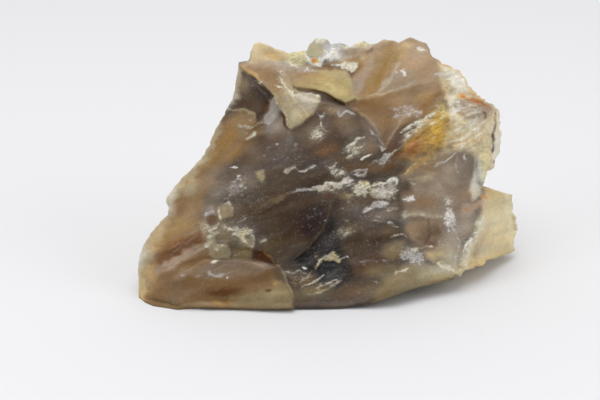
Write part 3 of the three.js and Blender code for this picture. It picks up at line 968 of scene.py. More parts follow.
# Broad soft colours of the seen side, the largest first
GROUND = (
    Patch(Hue.DIM_SMOKE, WHOLE, 1.0, 1.0),
    # warm brown left-hand side, its amber lobe and its foot
    Patch(Hue.BROWN, ((-17, 15), (-12, 17.8), (-8.6, 16.6), (-7.6, 14), (-10, 11), (-13, 8.4), (-17, 5),
          (-19, 1), (-19.4, -3), (-18, -12), (-13, -12.6), (-7.6, -12.4), (-3, -17), (-0.8, -24),
          (-36, -24), (-36, -6), (-28, 4)), 2.4, 0.95),
    Blob(Hue.BISTRE, (-10.4, 13.4), (4.6, 3.6), 40, 0.75),
    Blob(Hue.OLIVE, (-12.0, 15.0), (4.2, 3.0), 55, 0.7),
    Blob(Hue.AMBER, (-14.0, 12.8), (3.8, 2.6), 55, 0.7),
    Blob(Hue.AMBER, (-16.8, 9.8), (5, 2.2), 42, 0.75),
    Blob(Hue.GOLD_BROWN, (-12.6, 9.4), (5, 2.0), 28, 0.6),
    Blob(Hue.PALE_OLIVE, (-18.8, 8.2), (4.2, 1.7), 45, 0.6),
    Blob(Hue.GOLD_BROWN, (-22, 2.4), (5, 3.0), 50, 0.55),
    Blob(Hue.TAN, (-22.4, -3.4), (5, 2.6), 50, 0.5),
    Blob(Hue.GOLD_BROWN, (-24, -6.2), (6.4, 1.8), 24, 0.7),
    Blob(Hue.GOLD, (-28.6, -8.4), (4.2, 2.0), 40, 0.7),
    Blob(Hue.PUTTY, (-31, -12.6), (3.4, 6.4), 0, 0.7),
    Blob(Hue.GOLD_BROWN, (-29.4, -16.2), (2.2, 2.6), 0, 0.5),
    Blob(Hue.GOLD_BROWN, (-31, -18.4), (2.2, 2.6), 0, 0.6),
    Blob(Hue.COCOA, (-24, -17.6), (8, 4), 8, 0.7),
    Blob(Hue.COCOA, (-16, -18.2), (9, 3.2), 4, 0.8),
    Blob(Hue.COCOA, (-7, -15.4), (6, 2.6), 4, 0.75),
    Blob(Hue.RED_UMBER, (-15.4, -18.2), (6, 1.4), 8, 0.55),
    # smoky upper middle
    Blob(Hue.SMOKE, (-6, 8), (10, 7), 30, 0.75),
    Blob(Hue.SMOKE, (4, 15), (9, 5), 0, 0.85),
    Blob(Hue.ASH, (-4, 12), (4.4, 3), 20, 0.45),
    Blob(Hue.SMOKE, (-13, 5), (4.6, 5), 40, 0.7),
    Blob(Hue.ASH, (-14, 3), (4.4, 3.2), 30, 0.45),
    Blob(Hue.MAUVE, (-17, 1.6), (2.6, 2.6), 0, 0.5),
    Blob(Hue.RED_UMBER, (3.4, 10.4), (8, 3.2), 20, 0.75),
    Blob(Hue.UMBER, (-3, 5.6), (7, 2.2), 18, 0.6),
    Blob(Hue.RED_UMBER, (7.6, 14.6), (2.6, 2.6), 0, 0.6),
    # dark lower middle
    Blob(Hue.UMBER, (-6, -1), (11, 5), 18, 0.8),
    Blob(Hue.DARK_UMBER, (-2, -3.6), (9, 6), 20, 0.85),
    Blob(Hue.DARK_OLIVE, (-5, -7.4), (5, 4.4), 30, 0.6),
    Blob(Hue.PITCH, (2.4, -4.0), (4.8, 4.2), 35),
    # right of the curved step
    Blob(Hue.SMOKE, (13.4, -1.4), (7, 3.4), 5, 0.75),
    Blob(Hue.ASH, (16.4, -3.0), (4.6, 2.0), 8, 0.45),
    Blob(Hue.UMBER, (14.4, -8.6), (8, 4.6), 10, 0.8),
    Blob(Hue.RED_UMBER, (13.6, -12.6), (7, 3.6), 10, 0.65),
    Blob(Hue.DARK_UMBER, (12.6, -7.4), (4.6, 2.6), 10, 0.6),
    # painted shade: blue-black laid over the dark stone below and right of the curved step
    Patch(Hue.BLUE_BLACK, ((6.0, -3.6), (4.6, -5.8), (2.6, -8), (0.2, -10.2), (-2.0, -12.2), (0, -13.6),
          (3, -15.0), (7, -16.2), (9.6, -14.6), (8.6, -11), (7.8, -8), (7.4, -5)), 2.4),
    Blob(Hue.COCOA, (10.4, -18.2), (7, 2.6), 10, 0.75),
    Blob(Hue.OLIVE, (18, -17.4), (8, 2.6), 12, 0.75),
    Blob(Hue.OLIVE, (2, -18.6), (7, 2.4), 6, 0.8),
    Blob(Hue.COCOA, (1, -16.0), (4.6, 1.8), 10, 0.7),
    # brown face under the crest, darker on its left
    Patch(Hue.BROWN, ((9, 19.2), (10.6, 20.6), (20, 22.4), (28, 24), (30.4, 20), (26, 17.6), (21.6, 15),
          (19, 12), (17, 10), (15.6, 14), (12, 17.6)), 1.0, 0.97),
    Blob(Hue.BISTRE, (13.6, 18.4), (5, 2.4), 0, 0.85),
    Blob(Hue.TAN, (20, 20.0), (5, 2.2), 14, 0.55),
    Blob(Hue.PINK_TAN, (26.6, 22.4), (4, 2.6), 20, 0.45),
    Blob(Hue.WARM_BROWN, (22, 16.8), (4.6, 2), 24, 0.5),
    Blob(Hue.RED_UMBER, (17.2, 12.4), (1.8, 3), -20, 0.5),
    Blob(Hue.BISTRE, (26, 19), (3, 1.4), 50, 0.55),
    # grey lobe below it
    Blob(Hue.MAUVE, (14, 14.0), (3, 5.4), 24, 0.7),
    Blob(Hue.BROWN, (9.4, 15.4), (4.6, 3), -20, 0.45),
    # dark ground between the lobe's foot and the clear right-hand side
    Blob(Hue.CHESTNUT, (18.6, 9.4), (3, 3.4), 20, 0.7),
    # clear grey and brown ground on the right
    Patch(Hue.MAUVE, ((20, 5), (22.4, 8.4), (26, 9.4), (31, 10.4), (35.6, 10), (35, 3), (33.6, -2),
          (33, -8), (30, -12), (23, -9.6), (20.6, -4)), 2.0, 0.92),
    Blob(Hue.WARM_BROWN, (24.4, 4.4), (4, 3), 20, 0.6),
    Blob(Hue.PALE_MAUVE, (27.4, 2.6), (2.4, 3), -30, 0.55),
    Blob(Hue.PALE_OLIVE, (27, 7.6), (4, 1.6), 20, 0.5),
    Blob(Hue.BROWN, (25, -0.4), (4.2, 2.2), 0, 0.7),
    Blob(Hue.COCOA, (22, 2), (1.6, 2.8), 0, 0.6),
    Blob(Hue.PINK_TAN, (33.6, -1.6), (3, 2), 40, 0.6),
    # olive foot on the right
    Patch(Hue.OLIVE, ((19, -13.4), (24, -13), (30.4, -12.6), (33, -14), (30, -17), (14, -22), (16, -17)),
          2.4),
    Blob(Hue.PALE_OLIVE, (26, -14.6), (6, 2), 14, 0.65),
    Blob(Hue.HONEY, (28.4, -15.4), (4, 0.8), 16, 0.45),
    # tan face at the crest
    Patch(Hue.TAN, ((10.4, 24.8), (11.6, 34), (30, 34), (30.4, 24), (26, 23.4), (20, 22), (15, 20.8),
          (11, 20.0)), 0.7, 0.97),
    # rough ochre ground, and the chalky rind outside it
    Patch(Hue.OCHRE, ((20.4, 8.4), (20.6, 12.4), (24, 16), (28, 19.4), (30.6, 18), (31, 14.6), (29.4, 11),
          (26, 8.6), (22.8, 7.4)), 1.6, 0.8, crumb=0.8),
    Patch(Hue.BUFF, ((27.4, 27.6), (34, 30), (44, 20), (44, 4), (36.4, 3.4), (35.2, 9), (31, 10.6),
          (30.6, 16), (28.6, 21)), 1.4, 0.95, crumb=1.0, varied=0),
    # shelf, back row and the hollow under them
    Patch(Hue.TAN, ((-12.4, 27.6), (0, 27.6), (9, 26), (10.8, 24), (-1.6, 22.8), (-7.6, 23.2)), 0.5, 0.95),
    Patch(Hue.PUTTY, ((-10.6, 27.6), (-10.6, 33), (11, 34), (15.4, 31.4), (13, 28), (10.6, 27), (6, 27.2),
          (0, 26.9), (-9, 27.5)), 0.5, 0.95),
    Patch(Hue.UMBER, HOLLOW, 0.5, 0.97),
    # lighter and darker stretches within these
    Blob(Hue.WARM_BROWN, (6, 18.2), (4.4, 2.0), -16, 0.8),
    Blob(Hue.PALE_MAUVE, (-4.4, 14.8), (5, 3.4), 10, 0.95),
    Blob(Hue.ASH, (2, 13.4), (5.4, 3.6), 0, 0.85),
    Blob(Hue.MAUVE, (9.6, 14.4), (4, 3.0), -20, 0.75),
    Blob(Hue.ASH, (-9.6, 9.4), (3.6, 3.4), 30, 0.6),
    Blob(Hue.COCOA, (16.4, 18), (5, 2.4), 0, 0.75),
    Blob(Hue.CHESTNUT, (21.6, 13.6), (3.4, 2.1), 35, 0.85),
    Blob(Hue.CHESTNUT, (18.2, 10.4), (2.4, 2.4), 20, 0.5),
    Blob(Hue.COCOA, (5.4, 10.2), (4.4, 2.4), 10, 0.75),
    Blob(Hue.RUST_BROWN, (5, 9.8), (3.6, 1.8), 15, 0.45),
    Blob(Hue.PALE_MAUVE, (14, 10.6), (3, 2.8), 0, 0.75),
    Blob(Hue.BROWN, (14, 6.6), (3.2, 2), 0, 0.75),
    Blob(Hue.ASH, (-10.4, 4.4), (4.4, 4.0), 30, 0.8),
    Blob(Hue.PALE_MAUVE, (-17.6, 3.6), (3.4, 5), -30, 0.5),
    Blob(Hue.PUTTY, (-21.6, 2.4), (3.4, 2.6), 40, 0.55),
    Blob(Hue.PALE_MAUVE, (-17.6, -3), (3.4, 4.6), 0, 0.8),
    Blob(Hue.PUTTY, (-26.4, -2.4), (3, 2.4), 50, 0.6),
    Blob(Hue.ASH, (-13, -2), (3, 2.4), 0, 0.6),
    Blob(Hue.DARK_UMBER, (2, -6.4), (3.6, 3.2), 30, 0.95),
    Blob(Hue.GOLD_BROWN, (-24.6, -5.2), (6, 2.6), 36, 0.85),
    Blob(Hue.BROWN, (17.4, -6), (3, 2), 0, 0.5),
    Blob(Hue.PALE_OLIVE, (18.2, -10.2), (3.2, 2.4), 0, 0.75),
    Blob(Hue.PALE_OLIVE, (22.6, -13.8), (4.4, 1.8), 0, 0.7),
    Blob(Hue.OLIVE, (14.6, -14.4), (3.6, 2), 0, 0.5),
    Blob(Hue.PALE_OLIVE, (-2.4, -14.6), (2.2, 1.4), 0, 0.5),
    Blob(Hue.COCOA, (11.6, 6.2), (5, 1.9), 4, 0.8),
    Blob(Hue.RUST_BROWN, (17.4, 6.6), (2.8, 1.9), 10, 0.45),
    Blob(Hue.UMBER, (20.8, 2.2), (2.4, 2), 0, 0.4),
    Blob(Hue.PALE_OLIVE, (-22.4, 2.4), (3, 2.4), 50, 0.5),
    Blob(Hue.COCOA, (18, 13.8), (2.4, 2.8), -20, 0.7),
    Blob(Hue.BISTRE, (22, 6.4), (2.4, 1.6), 20, 0.5),
    Blob(Hue.PITCH, (3.6, -2.6), (4.6, 3.6), 20, 0.8),
    Blob(Hue.DARK_UMBER, (-1.4, -6), (6, 4), 20, 0.85),
    Blob(Hue.SMOKE, (14, -6), (4, 2.4), 10, 0.7),
    Blob(Hue.BROWN, (18.4, -10.6), (3.6, 2.2), 0, 0.7),
    Blob(Hue.OLIVE, (16, -14.2), (5, 2.4), 10, 0.55),
    Patch(Hue.PALE_MAUVE, ((28, -7), (31.6, -6), (32.8, -11), (32, -15), (28.4, -14), (27.6, -10)), 2.4,
          0.85),
    Blob(Hue.CLEAR, (30, -12.6), (3.4, 3.4), 0, 0.7),
    Blob(Hue.PUTTY, (26.4, -13.6), (4, 1.6), 0, 0.6),
    Blob(Hue.PALE_MAUVE, (33.6, -4.6), (2.4, 3.4), -20, 0.7),
    # warmer stretches of the middle
    Blob(Hue.BISTRE, (8.4, 8.0), (3.4, 1.2), 10, 0.5),
    Blob(Hue.DARK_UMBER, (7.4, -1.6), (1.8, 2.4), 0, 0.6),
    Blob(Hue.DARK_UMBER, (-7.4, -5.6), (3.4, 3), 0, 0.7),
    Blob(Hue.PITCH, (2, -6), (3, 2.4), 20, 0.6),
    Blob(Hue.BROWN, (26, 7), (3, 1.5), 20, 0.65),
    Blob(Hue.RUST_BROWN, (23.2, 9.4), (2.6, 1.4), 20, 0.5),
    Blob(Hue.COCOA, (23.4, 8.8), (2.6, 1.2), 20, 0.5),
    Blob(Hue.MAUVE, (-2, 14), (3, 2), 0, 0.5),
    Blob(Hue.PALE_MAUVE, (-14, 2), (3, 2.4), 0, 0.45),
    Blob(Hue.CLEAR, (30.4, -11.6), (2.6, 2.4), 0, 0.5),
    Blob(Hue.PUTTY, (24, -13), (2.6, 1.1), 0, 0.5),
    Blob(Hue.DARK_UMBER, (4, 3.8), (6, 2.4), 12, 0.6),
    Blob(Hue.CLEAR_PALE, (30, -10), (2.4, 3), 0, 0.4),
    Blob(Hue.LILAC, (34.4, -2.8), (2.2, 2.6), 0, 0.45),
    Blob(Hue.PALE_MAUVE, (30, 4.4), (2.8, 4), 0, 0.6),
    Blob(Hue.LAVENDER, (29.6, 6.4), (2, 1.8), 0, 0.5),
    # painted light: paler stretch on the lower right foot, as if lit through from below
    Blob(Hue.CLEAR, (26.6, -14.6), (5, 1.8), 14, 0.75),
    Blob(Hue.PALE_OLIVE, (19, -15.6), (4, 1.6), 8, 0.5),
    Blob(Hue.DARK_UMBER, (9.6, -15), (2.4, 1.8), 0, 0.5),
    Blob(Hue.CHESTNUT, (5.6, 1.6), (3.8, 2.8), 12, 0.45),
    Blob(Hue.COCOA, (14, 10), (2.8, 2.2), 0, 0.5),
    Blob(Hue.BROWN, (26.4, 6.0), (3.4, 2.2), 0, 0.45),
    Blob(Hue.PUTTY, (22, -10), (2.8, 2), 0, 0.4),
    # painted light: paler on the lower right foot, as if lit through from below
    Blob(Hue.CLEAR_PALE, (30, -13.8), (3.2, 1.8), 14, 0.5),
    # thin clear tail: its own pale tint with painted glow of light through it
    Patch(Hue.TAIL, ((36.4, -1.6), (36.4, 2.8), (42, 2.8), (46, -6), (43, -13), (31.4, -18), (31.6, -13.4),
          (34.8, -7)), 1.6, 0.97, varied=0),
)

# Left-hand side, from the crest's corner down to the foot
LEFT_MARKS = (
    # hollow: clear at its left edge, with painted glow of light through the thin edge, and darkest under
    # the shelf, in painted shade cast by the shelf
    Stroke(Hue.PUTTY, ((-12.4, 26.6), (-12.6, 24), (-13.4, 21), (-14.6, 18.6)), 2.6, 0.85, varied=0),
    Blob(Hue.OLIVE, (-11.2, 23), (2.2, 3), 0, 0.7),
    # painted shade: the darkest middle of the hollow, under the overhanging shelf
    Blob(Hue.PITCH, (-7.2, 21), (3.6, 2.6), -40, 0.85),
    Blob(Hue.CHESTNUT, (-10.4, 19.2), (3.4, 1.2), -8, 0.5),
    Blob(Hue.CHESTNUT, (-6.8, 18.0), (1.6, 2.0), 50, 0.6),
    # painted shade: dark line just under the shelf's edge
    Stroke(Hue.DARK_UMBER, ((-11.6, 25.6), (-9.4, 23.9), (-7.6, 22.8), (-5.8, 21)), 0.9, 0.7),
    lace((-10.4, 23), (2.4, 2.6), 0, 0.22),
    # amber lobe's pale lip, a painted highlight along its upper edge, painted glow along its thin left
    # edge, and its lines and flakes
    Stroke(Hue.PALE_OLIVE, ((-14, 18.2), (-11, 17.9), (-9.2, 17.1), (-8.6, 16)), 0.45, 0.8),
    # painted glow: clear tint along the thin left edge, where light comes through
    Stroke(Hue.CLEAR, ((-15.4, 17.4), (-17, 14), (-18.4, 11.4), (-20.6, 8), (-22.8, 5.6)), 2.2, 0.6,
           varied=0),
    Patch(Hue.PUTTY, ((-10.2, 17.2), (-9, 16.6), (-8.8, 15.8), (-9.8, 15.6), (-10.6, 16.4)), 0.6, 0.4,
          chalk=0.3),
    Stroke(Hue.PUTTY, ((-12, 14.6), (-10, 14.5), (-8.6, 15.3), (-6.4, 15.2)), 0.55, 0.75, chalk=0.6,
           lift=0.1),
    Stroke(Hue.PUTTY, ((-12, 14.4), (-12.4, 15.4)), 0.5, 0.5, chalk=0.4),
    Patch(Hue.CREAM, ((-11.2, 12), (-10, 12.8), (-9.3, 13.6), (-8.6, 13.4), (-8.8, 12.6), (-10, 12.1)), 0.5,
          chalk=0.8, lift=0.15),
    Patch(Hue.PUTTY, ((-18.6, 10.4), (-17.6, 11.2), (-16.8, 10.8), (-17.4, 10.1)), 0.6, 0.8, chalk=0.5),
    lace((-11, 13.6), (3, 2.4), 30, 0.3, Hue.PUTTY),
    # pale clear edge down to the waist, and on down the lower lobe: the clear stone's tint with painted
    # glow of light through the thin edge
    Stroke(Hue.CLEAR, ((-20.4, 8.6), (-22.6, 6), (-24.8, 3.6), (-27, 1.4), (-26.8, -1.4)), 4.2, 0.6,
           varied=0),
    Blob(Hue.CLEAR_PALE, (-25.6, 1.8), (3.2, 2.0), 55, 0.8),
    Blob(Hue.CLEAR_PALE, (-26, -1.2), (1.8, 2.8), 0, 0.6),
    Stroke(Hue.BUFF, ((-27.2, -4), (-29.8, -7), (-31.6, -10), (-32.4, -13)), 4.4, 0.45, varied=0),
    Blob(Hue.CLEAR_PALE, (-31.8, -11.4), (1.8, 5), -12, 0.7),
    Blob(Hue.BUFF, (-28, -6.4), (3.4, 2), 42, 0.5),
    Stroke(Hue.HONEY, ((-32, -14), (-32, -17), (-31.4, -19.6)), 2.0, 0.7, varied=0),
    Blob(Hue.GOLD, (-30, -14.4), (2.6, 3.4), 0, 0.75),
    # red-brown streak between mauve ones
    Blob(Hue.RUST_BROWN, (-23.6, -8.6), (7, 3.4), 24, 0.55),
    Blob(Hue.CHESTNUT, (-25, -10.2), (6.4, 2.0), 24, 1.0),
    Blob(Hue.CHESTNUT, (-21.4, -8.2), (4, 1.8), 24, 0.8),
    Blob(Hue.CHESTNUT, (-27.6, -12.2), (2.6, 1.2), 24, 0.6),
    Stroke(Hue.MAUVE, ((-26, -7.8), (-23, -6.8), (-20, -5.6), (-18.6, -5)), 0.8, 0.6, broken=0.35),
    Stroke(Hue.LAVENDER, ((-25.6, -9.2), (-22.8, -8.6), (-20.6, -7)), 0.5, 0.45, broken=0.3, seed=2),
    Stroke(Hue.LAVENDER, ((-28.4, -14.4), (-25.4, -12.6), (-22, -10.6), (-18.4, -8.8)), 1.9, 0.85,
           broken=0.15),
    Stroke(Hue.PALE_MAUVE, ((-26.4, -13.6), (-22.4, -11.2), (-19, -9.4)), 0.7, 0.6, broken=0.3),
    Stroke(Hue.COCOA, ((-28.4, -16), (-25.4, -14), (-21.6, -12.2), (-18.8, -11.2)), 1.0, 0.5, broken=0.3),
    Stroke(Hue.MAUVE, ((-25.4, -16), (-22, -14.4), (-19, -13.6)), 1.4, 0.55, broken=0.2),
    Wisps(Hue.PALE_MAUVE, (-23.4, -9.4), (7, 4), 24, 0.5, amount=0.42, lean=4, seed=3),
    Wisps(Hue.CHESTNUT, (-22.4, -11.6), (7, 3.6), 24, 0.5, long=4.4, thin=0.6, amount=0.42, lean=4, seed=5),
    Wisps(Hue.RUST_BROWN, (-21, -6), (6, 3), 24, 0.4, long=3.4, thin=0.7, lean=4, seed=8),
    Patch(Hue.CREAM, ((-19.2, -8.8), (-18.4, -8.4), (-18.3, -9.6), (-19.2, -9.5)), 0.5, 0.8, chalk=0.7),
    # mauve lens on the block's upward face, its grey tint with a painted sheen where the face catches the
    # light, and the block under it
    Patch(Hue.ASH, ((-19.4, -12.8), (-17, -12.2), (-13, -11.6), (-8.4, -12.2), (-5.4, -13.4), (-8.4, -15),
          (-14, -15.8), (-20, -15.2)), 1.4, 0.8),
    # painted sheen: brightest along the lens's right end
    Blob(Hue.LAVENDER, (-8.4, -13.0), (4.4, 1.1), -10, 0.6),
    Blob(Hue.LILAC, (-7.4, -12.9), (2.2, 0.5), -10, 0.5),
    Wisps(Hue.LAVENDER, (-14.4, -14.2), (6.4, 2.2), 4, 0.5, amount=0.44, lean=2, seed=80),
    Stroke(Hue.LILAC, ((-18.8, -14.3), (-17.2, -14.9), (-15.6, -14.8)), 0.7, 0.6, chalk=0.5),
    Stroke(Hue.LILAC, ((-21.4, -15.4), (-19.6, -15.3)), 0.6, 0.5, chalk=0.4),
    Stroke(Hue.LILAC, ((-24, -15.4), (-22.4, -15.0)), 0.6, 0.5, chalk=0.4),
    Blob(Hue.CREAM, (-14.6, -15.4), (0.6, 0.5), 0, 0.8, chalk=0.6),
    Stroke(Hue.CREAM, ((-18, -12.8), (-17.2, -12.2), (-16.6, -12.2)), 0.7, 0.75, chalk=0.7),
    lace((-17.6, -14.6), (5, 2.0), 0, 0.3),
    Blob(Hue.COCOA, (-12, -16.4), (8, 1.8), 4, 0.75),
    Blob(Hue.CHESTNUT, (-15, -18.4), (4.4, 1.1), 8, 0.75),
    Wisps(Hue.DARK_UMBER, (-14, -18), (7, 1.8), 6, 0.5, long=3.6, amount=0.42, lean=14, seed=9),
    Wisps(Hue.BISTRE, (-20, -16.4), (9, 4), 8, 0.4, long=5, thin=0.8, amount=0.42, lean=10, seed=7),
    Patch(Hue.OLIVE, ((-14, -19.4), (-8, -18.2), (-2.6, -17), (-1.4, -20), (-1.2, -22), (-14, -21.6)), 1.0),
    Blob(Hue.PALE_OLIVE, (-5, -18.6), (4, 1.4), 6, 0.75),
    Blob(Hue.HONEY, (-4.6, -16.8), (1.6, 1.1), 0, 0.55),
    Stroke(Hue.CHESTNUT, ((-7, -18.3), (-5.6, -18.0)), 0.5, 0.85),
    Blob(Hue.OCHRE, (-16.4, -20.6), (2.4, 0.9), 0, 0.6),
    Blob(Hue.DARK_OCHRE, (-14.4, -20.4), (2.0, 0.7), 10, 0.6),
    Stroke(Hue.PALE_OLIVE, ((-24, -21.3), (-21, -21), (-18, -20.8)), 0.9, 0.55),
    lace((-24, -20), (5, 1.4), 0, 0.25, Hue.PALE_OLIVE, 0.3),
    lace((-30.6, -18), (1.6, 3), 0, 0.3, Hue.CLEAR, 0.3),
    lace((-24, -5.4), (7, 3), 24, 0.2, Hue.PINK_TAN, 0.3),
)

# Cluster of small plates, and the ground round it
PLATE_MARKS = (
    Blob(Hue.OLIVE, (-15.6, -6), (3.6, 6), 10, 0.8),
    Blob(Hue.OLIVE, (-11, -8.8), (3.2, 2.8), 0, 0.75),
    Patch(Hue.RED_UMBER, ((-19, -3.8), (-17.6, -2.6), (-16.6, -3), (-16.6, -4.4), (-18.4, -4.9)), 0.9,
          0.75),
    Patch(Hue.LILAC, ((-19.4, -3.2), (-18.8, -2.2), (-17.4, -2.0), (-17.2, -2.7), (-18.4, -3), (-19, -3.6)),
          0.5, 0.85, chalk=0.7, lift=0.1),
    Patch(Hue.PALE_OLIVE, ((-16.6, -1.6), (-15.6, -0.8), (-14.2, -0.5), (-13.4, -1.8), (-13.6, -3.2),
          (-15, -3.6), (-15.8, -4), (-16.4, -3)), 0.6, 0.62, lift=0.04),
    Stroke(Hue.CREAM, ((-16.5, -1.8), (-16.2, -2.8), (-15.6, -3.8)), 0.5, 0.85, chalk=0.8, lift=0.1),
    Patch(Hue.BUFF, ((-20, -4.2), (-18.8, -4), (-18, -6), (-19.2, -6.4)), 0.8, 0.55, chalk=0.5),
    Stroke(Hue.CREAM, ((-18.6, -6.2), (-17.2, -5.4), (-16.2, -4.4)), 0.5, 0.65, chalk=0.7, broken=0.2),
    Stroke(Hue.PUTTY, ((-15.8, -4.8), (-14.4, -5.8), (-13.6, -6.2)), 0.5, 0.7, chalk=0.6, broken=0.2),
    Stroke(Hue.PALE_OLIVE, ((-19.4, -8.2), (-17.6, -6.8), (-16.4, -6.4)), 0.8, 0.5, chalk=0.5),
    Patch(Hue.PUTTY, ((-14, -6), (-13.2, -5.2), (-12, -5.8), (-10.8, -5.2), (-10, -6.2), (-8.8, -6.4),
          (-9.2, -7.4), (-10.8, -7.2), (-12.4, -7.6), (-13.6, -7.2)), 0.6, 0.35, chalk=0.5, lift=0.15),
    Patch(Hue.PALE_OLIVE, ((-11.2, -7.6), (-8.8, -7.2), (-9, -9.6), (-10.4, -9.6), (-11.6, -8.6),
          (-12.4, -7.8)), 0.5, 0.5, lift=0.06),
    lace((-10.6, -7.2), (3.0, 2.2), 0, 0.36, Hue.CREAM, 0.5),
    lace((-7.6, -8.2), (2, 1.4), 20, 0.5, Hue.PUTTY, 0.6),
    Patch(Hue.PALE_OLIVE, ((-18.4, -7.4), (-17.4, -8.5), (-16, -9.0), (-14.4, -9.3), (-13.9, -10.2),
          (-14.1, -11.8), (-17.4, -12.0), (-18.3, -11.2), (-18.6, -9.2)), 0.6, 0.62, lift=0.03),
    Blob(Hue.CREAM, (-16.6, -9.8), (1.1, 1.0), 0, 0.6, chalk=0.6),
    Stroke(Hue.CREAM, ((-16.8, -8.8), (-15.2, -9.2), (-14.2, -9.8), (-14.1, -11.6)), 0.35, 0.5, chalk=0.6),
    Stroke(Hue.CREAM, ((-15.6, -0.8), (-14.2, -0.5), (-13.4, -1.8), (-13.6, -3.2)), 0.35, 0.5, chalk=0.5),
    lace((-14, -6), (5, 5.4), 0, 0.24, Hue.CREAM, 0.5),
    lace((-17.8, -8.6), (1.6, 1.4), 40, 0.45, Hue.CREAM, 0.5),
    lace((-19, -5.4), (1.2, 2), 20, 0.45, Hue.CREAM, 0.5),
    Stroke(Hue.PUTTY, ((-13.2, -5.6), (-12.4, -6.6), (-11, -6.9), (-9.6, -6.4)), 0.6, 0.55, chalk=0.6,
           broken=0.3),
    Stroke(Hue.CREAM, ((-11.6, -7.6), (-10.4, -8.6), (-9.4, -9.6)), 0.4, 0.6, chalk=0.6),
    Stroke(Hue.PUTTY, ((-9.0, -7.2), (-9.2, -8.6), (-9.6, -9.8)), 0.5, 0.6, chalk=0.6),
    lace((-11.2, -7.0), (2.4, 1.6), 80, 0.26, Hue.STRAW, 0.5),
    Blob(Hue.BISTRE, (-14.4, -7), (1.6, 1.0), 0, 0.5),
    Patch(Hue.OLIVE, ((-13.6, -10), (-12, -9.6), (-9.6, -10), (-9.8, -11.4), (-10.6, -12), (-13.6, -11.8)),
          0.8, 0.7),
    Patch(Hue.PALE_OLIVE, ((-20.4, -4.2), (-18.6, -5.2), (-17, -6.2), (-16.8, -8.6), (-18.6, -8.8),
          (-19.4, -7)), 0.9, 0.5),
    lace((-18.2, -7.0), (2.2, 2.4), 20, 0.42, Hue.CREAM, 0.5),
    Blob(Hue.PUTTY, (-15, -1.8), (0.9, 0.9), 0, 0.5),
    Stroke(Hue.PALE_OLIVE, ((-13.2, -11.2), (-12, -10.4), (-11, -10)), 0.5, 0.6, chalk=0.5),
    Stroke(Hue.BISTRE, ((-16, -7.2), (-14, -8.6), (-12.8, -9.8), (-9.4, -9.8)), 0.5, 0.6),
    # painted shade in the hollow of the three-cornered chip
    Patch(Hue.CHESTNUT, ((-9.4, -10.1), (-7.4, -10.3), (-6.2, -11.6), (-5, -12.6), (-7.6, -12.2),
          (-9.6, -11.8)), 0.5, varied=0),
    Stroke(Hue.GOLD_BROWN, ((-7.4, -10.5), (-6, -11.2), (-5, -12.6), (-3.8, -14)), 0.5, 0.8),
    Stroke(Hue.PALE_OLIVE, ((-3.8, -14), (-2.6, -16.6), (-1.4, -19.6)), 0.45, 0.7),
    # three-cornered and small pale chips above, and the flecked ground they lie on
    lace((-12, 3), (7, 4.6), 30, 0.36),
    lace((-14.4, 1.4), (5, 3.4), 30, 0.2),
    lace((-8, 0), (8, 3), 20, 0.22),
    lace((-11, -3), (5, 2.4), 20, 0.12, Hue.PALE_OLIVE),
    lace((-2, 9), (8, 4), 20, 0.22),
    Patch(Hue.PALE_OLIVE, ((-8.8, 5.6), (-7.4, 5.8), (-7.2, 4.4), (-7.8, 3.2), (-8.5, 4.4)), 0.45,
          chalk=0.75, lift=0.1),
    Patch(Hue.PUTTY, ((-3.4, 5.6), (-2.4, 6.4), (-0.8, 6.8), (-0.6, 6.2), (-1.8, 6), (-2.4, 5.2)), 0.5,
          0.92, chalk=0.8, lift=0.1),
    Stroke(Hue.LILAC, ((-0.6, 5.8), (1, 5.6), (2.2, 6.4), (3, 6.8)), 0.45, 0.85, chalk=0.6),
    Stroke(Hue.WHITE, ((-14, 6.3), (-12.6, 6.5)), chalk=0.8),
    Blob(Hue.WHITE, (-12.4, 4.7), (0.6, 0.5), 0, 0.95, chalk=0.8),
    Stroke(Hue.LILAC, ((-14, 3.8), (-12.6, 4.1), (-11.6, 3.4)), 0.45, 0.7, chalk=0.6),
    Patch(Hue.PALE_OLIVE, ((-11.2, 3.8), (-10.4, 3.6), (-10.6, 2.6)), 0.5, 0.85, chalk=0.7),
    Stroke(Hue.LILAC, ((-13.2, 2.6), (-11.6, 2.9), (-10, 2.2)), 0.5, 0.5, chalk=0.5),
    Stroke(Hue.LILAC, ((-12.4, -4.3), (-11.4, -4.0), (-10.4, -3.6)), 0.4, 0.7, chalk=0.5),
    Stroke(Hue.LILAC, ((-11.4, -3.4), (-10.6, -3)), 0.4, 0.6, chalk=0.5),
    Stroke(Hue.PUTTY, ((-7.6, -8.4), (-6.6, -7.9)), 0.5, 0.8, chalk=0.7),
    Stroke(Hue.LILAC, ((-7, 10), (-5.6, 10.6)), 0.35, 0.5, chalk=0.5),
    Blob(Hue.LILAC, (-4.6, 11.0), (0.5, 0.4), 0, 0.8, chalk=0.7),
    Blob(Hue.LILAC, (-7.0, 9.1), (0.5, 0.4), 0, 0.8, chalk=0.7),
)

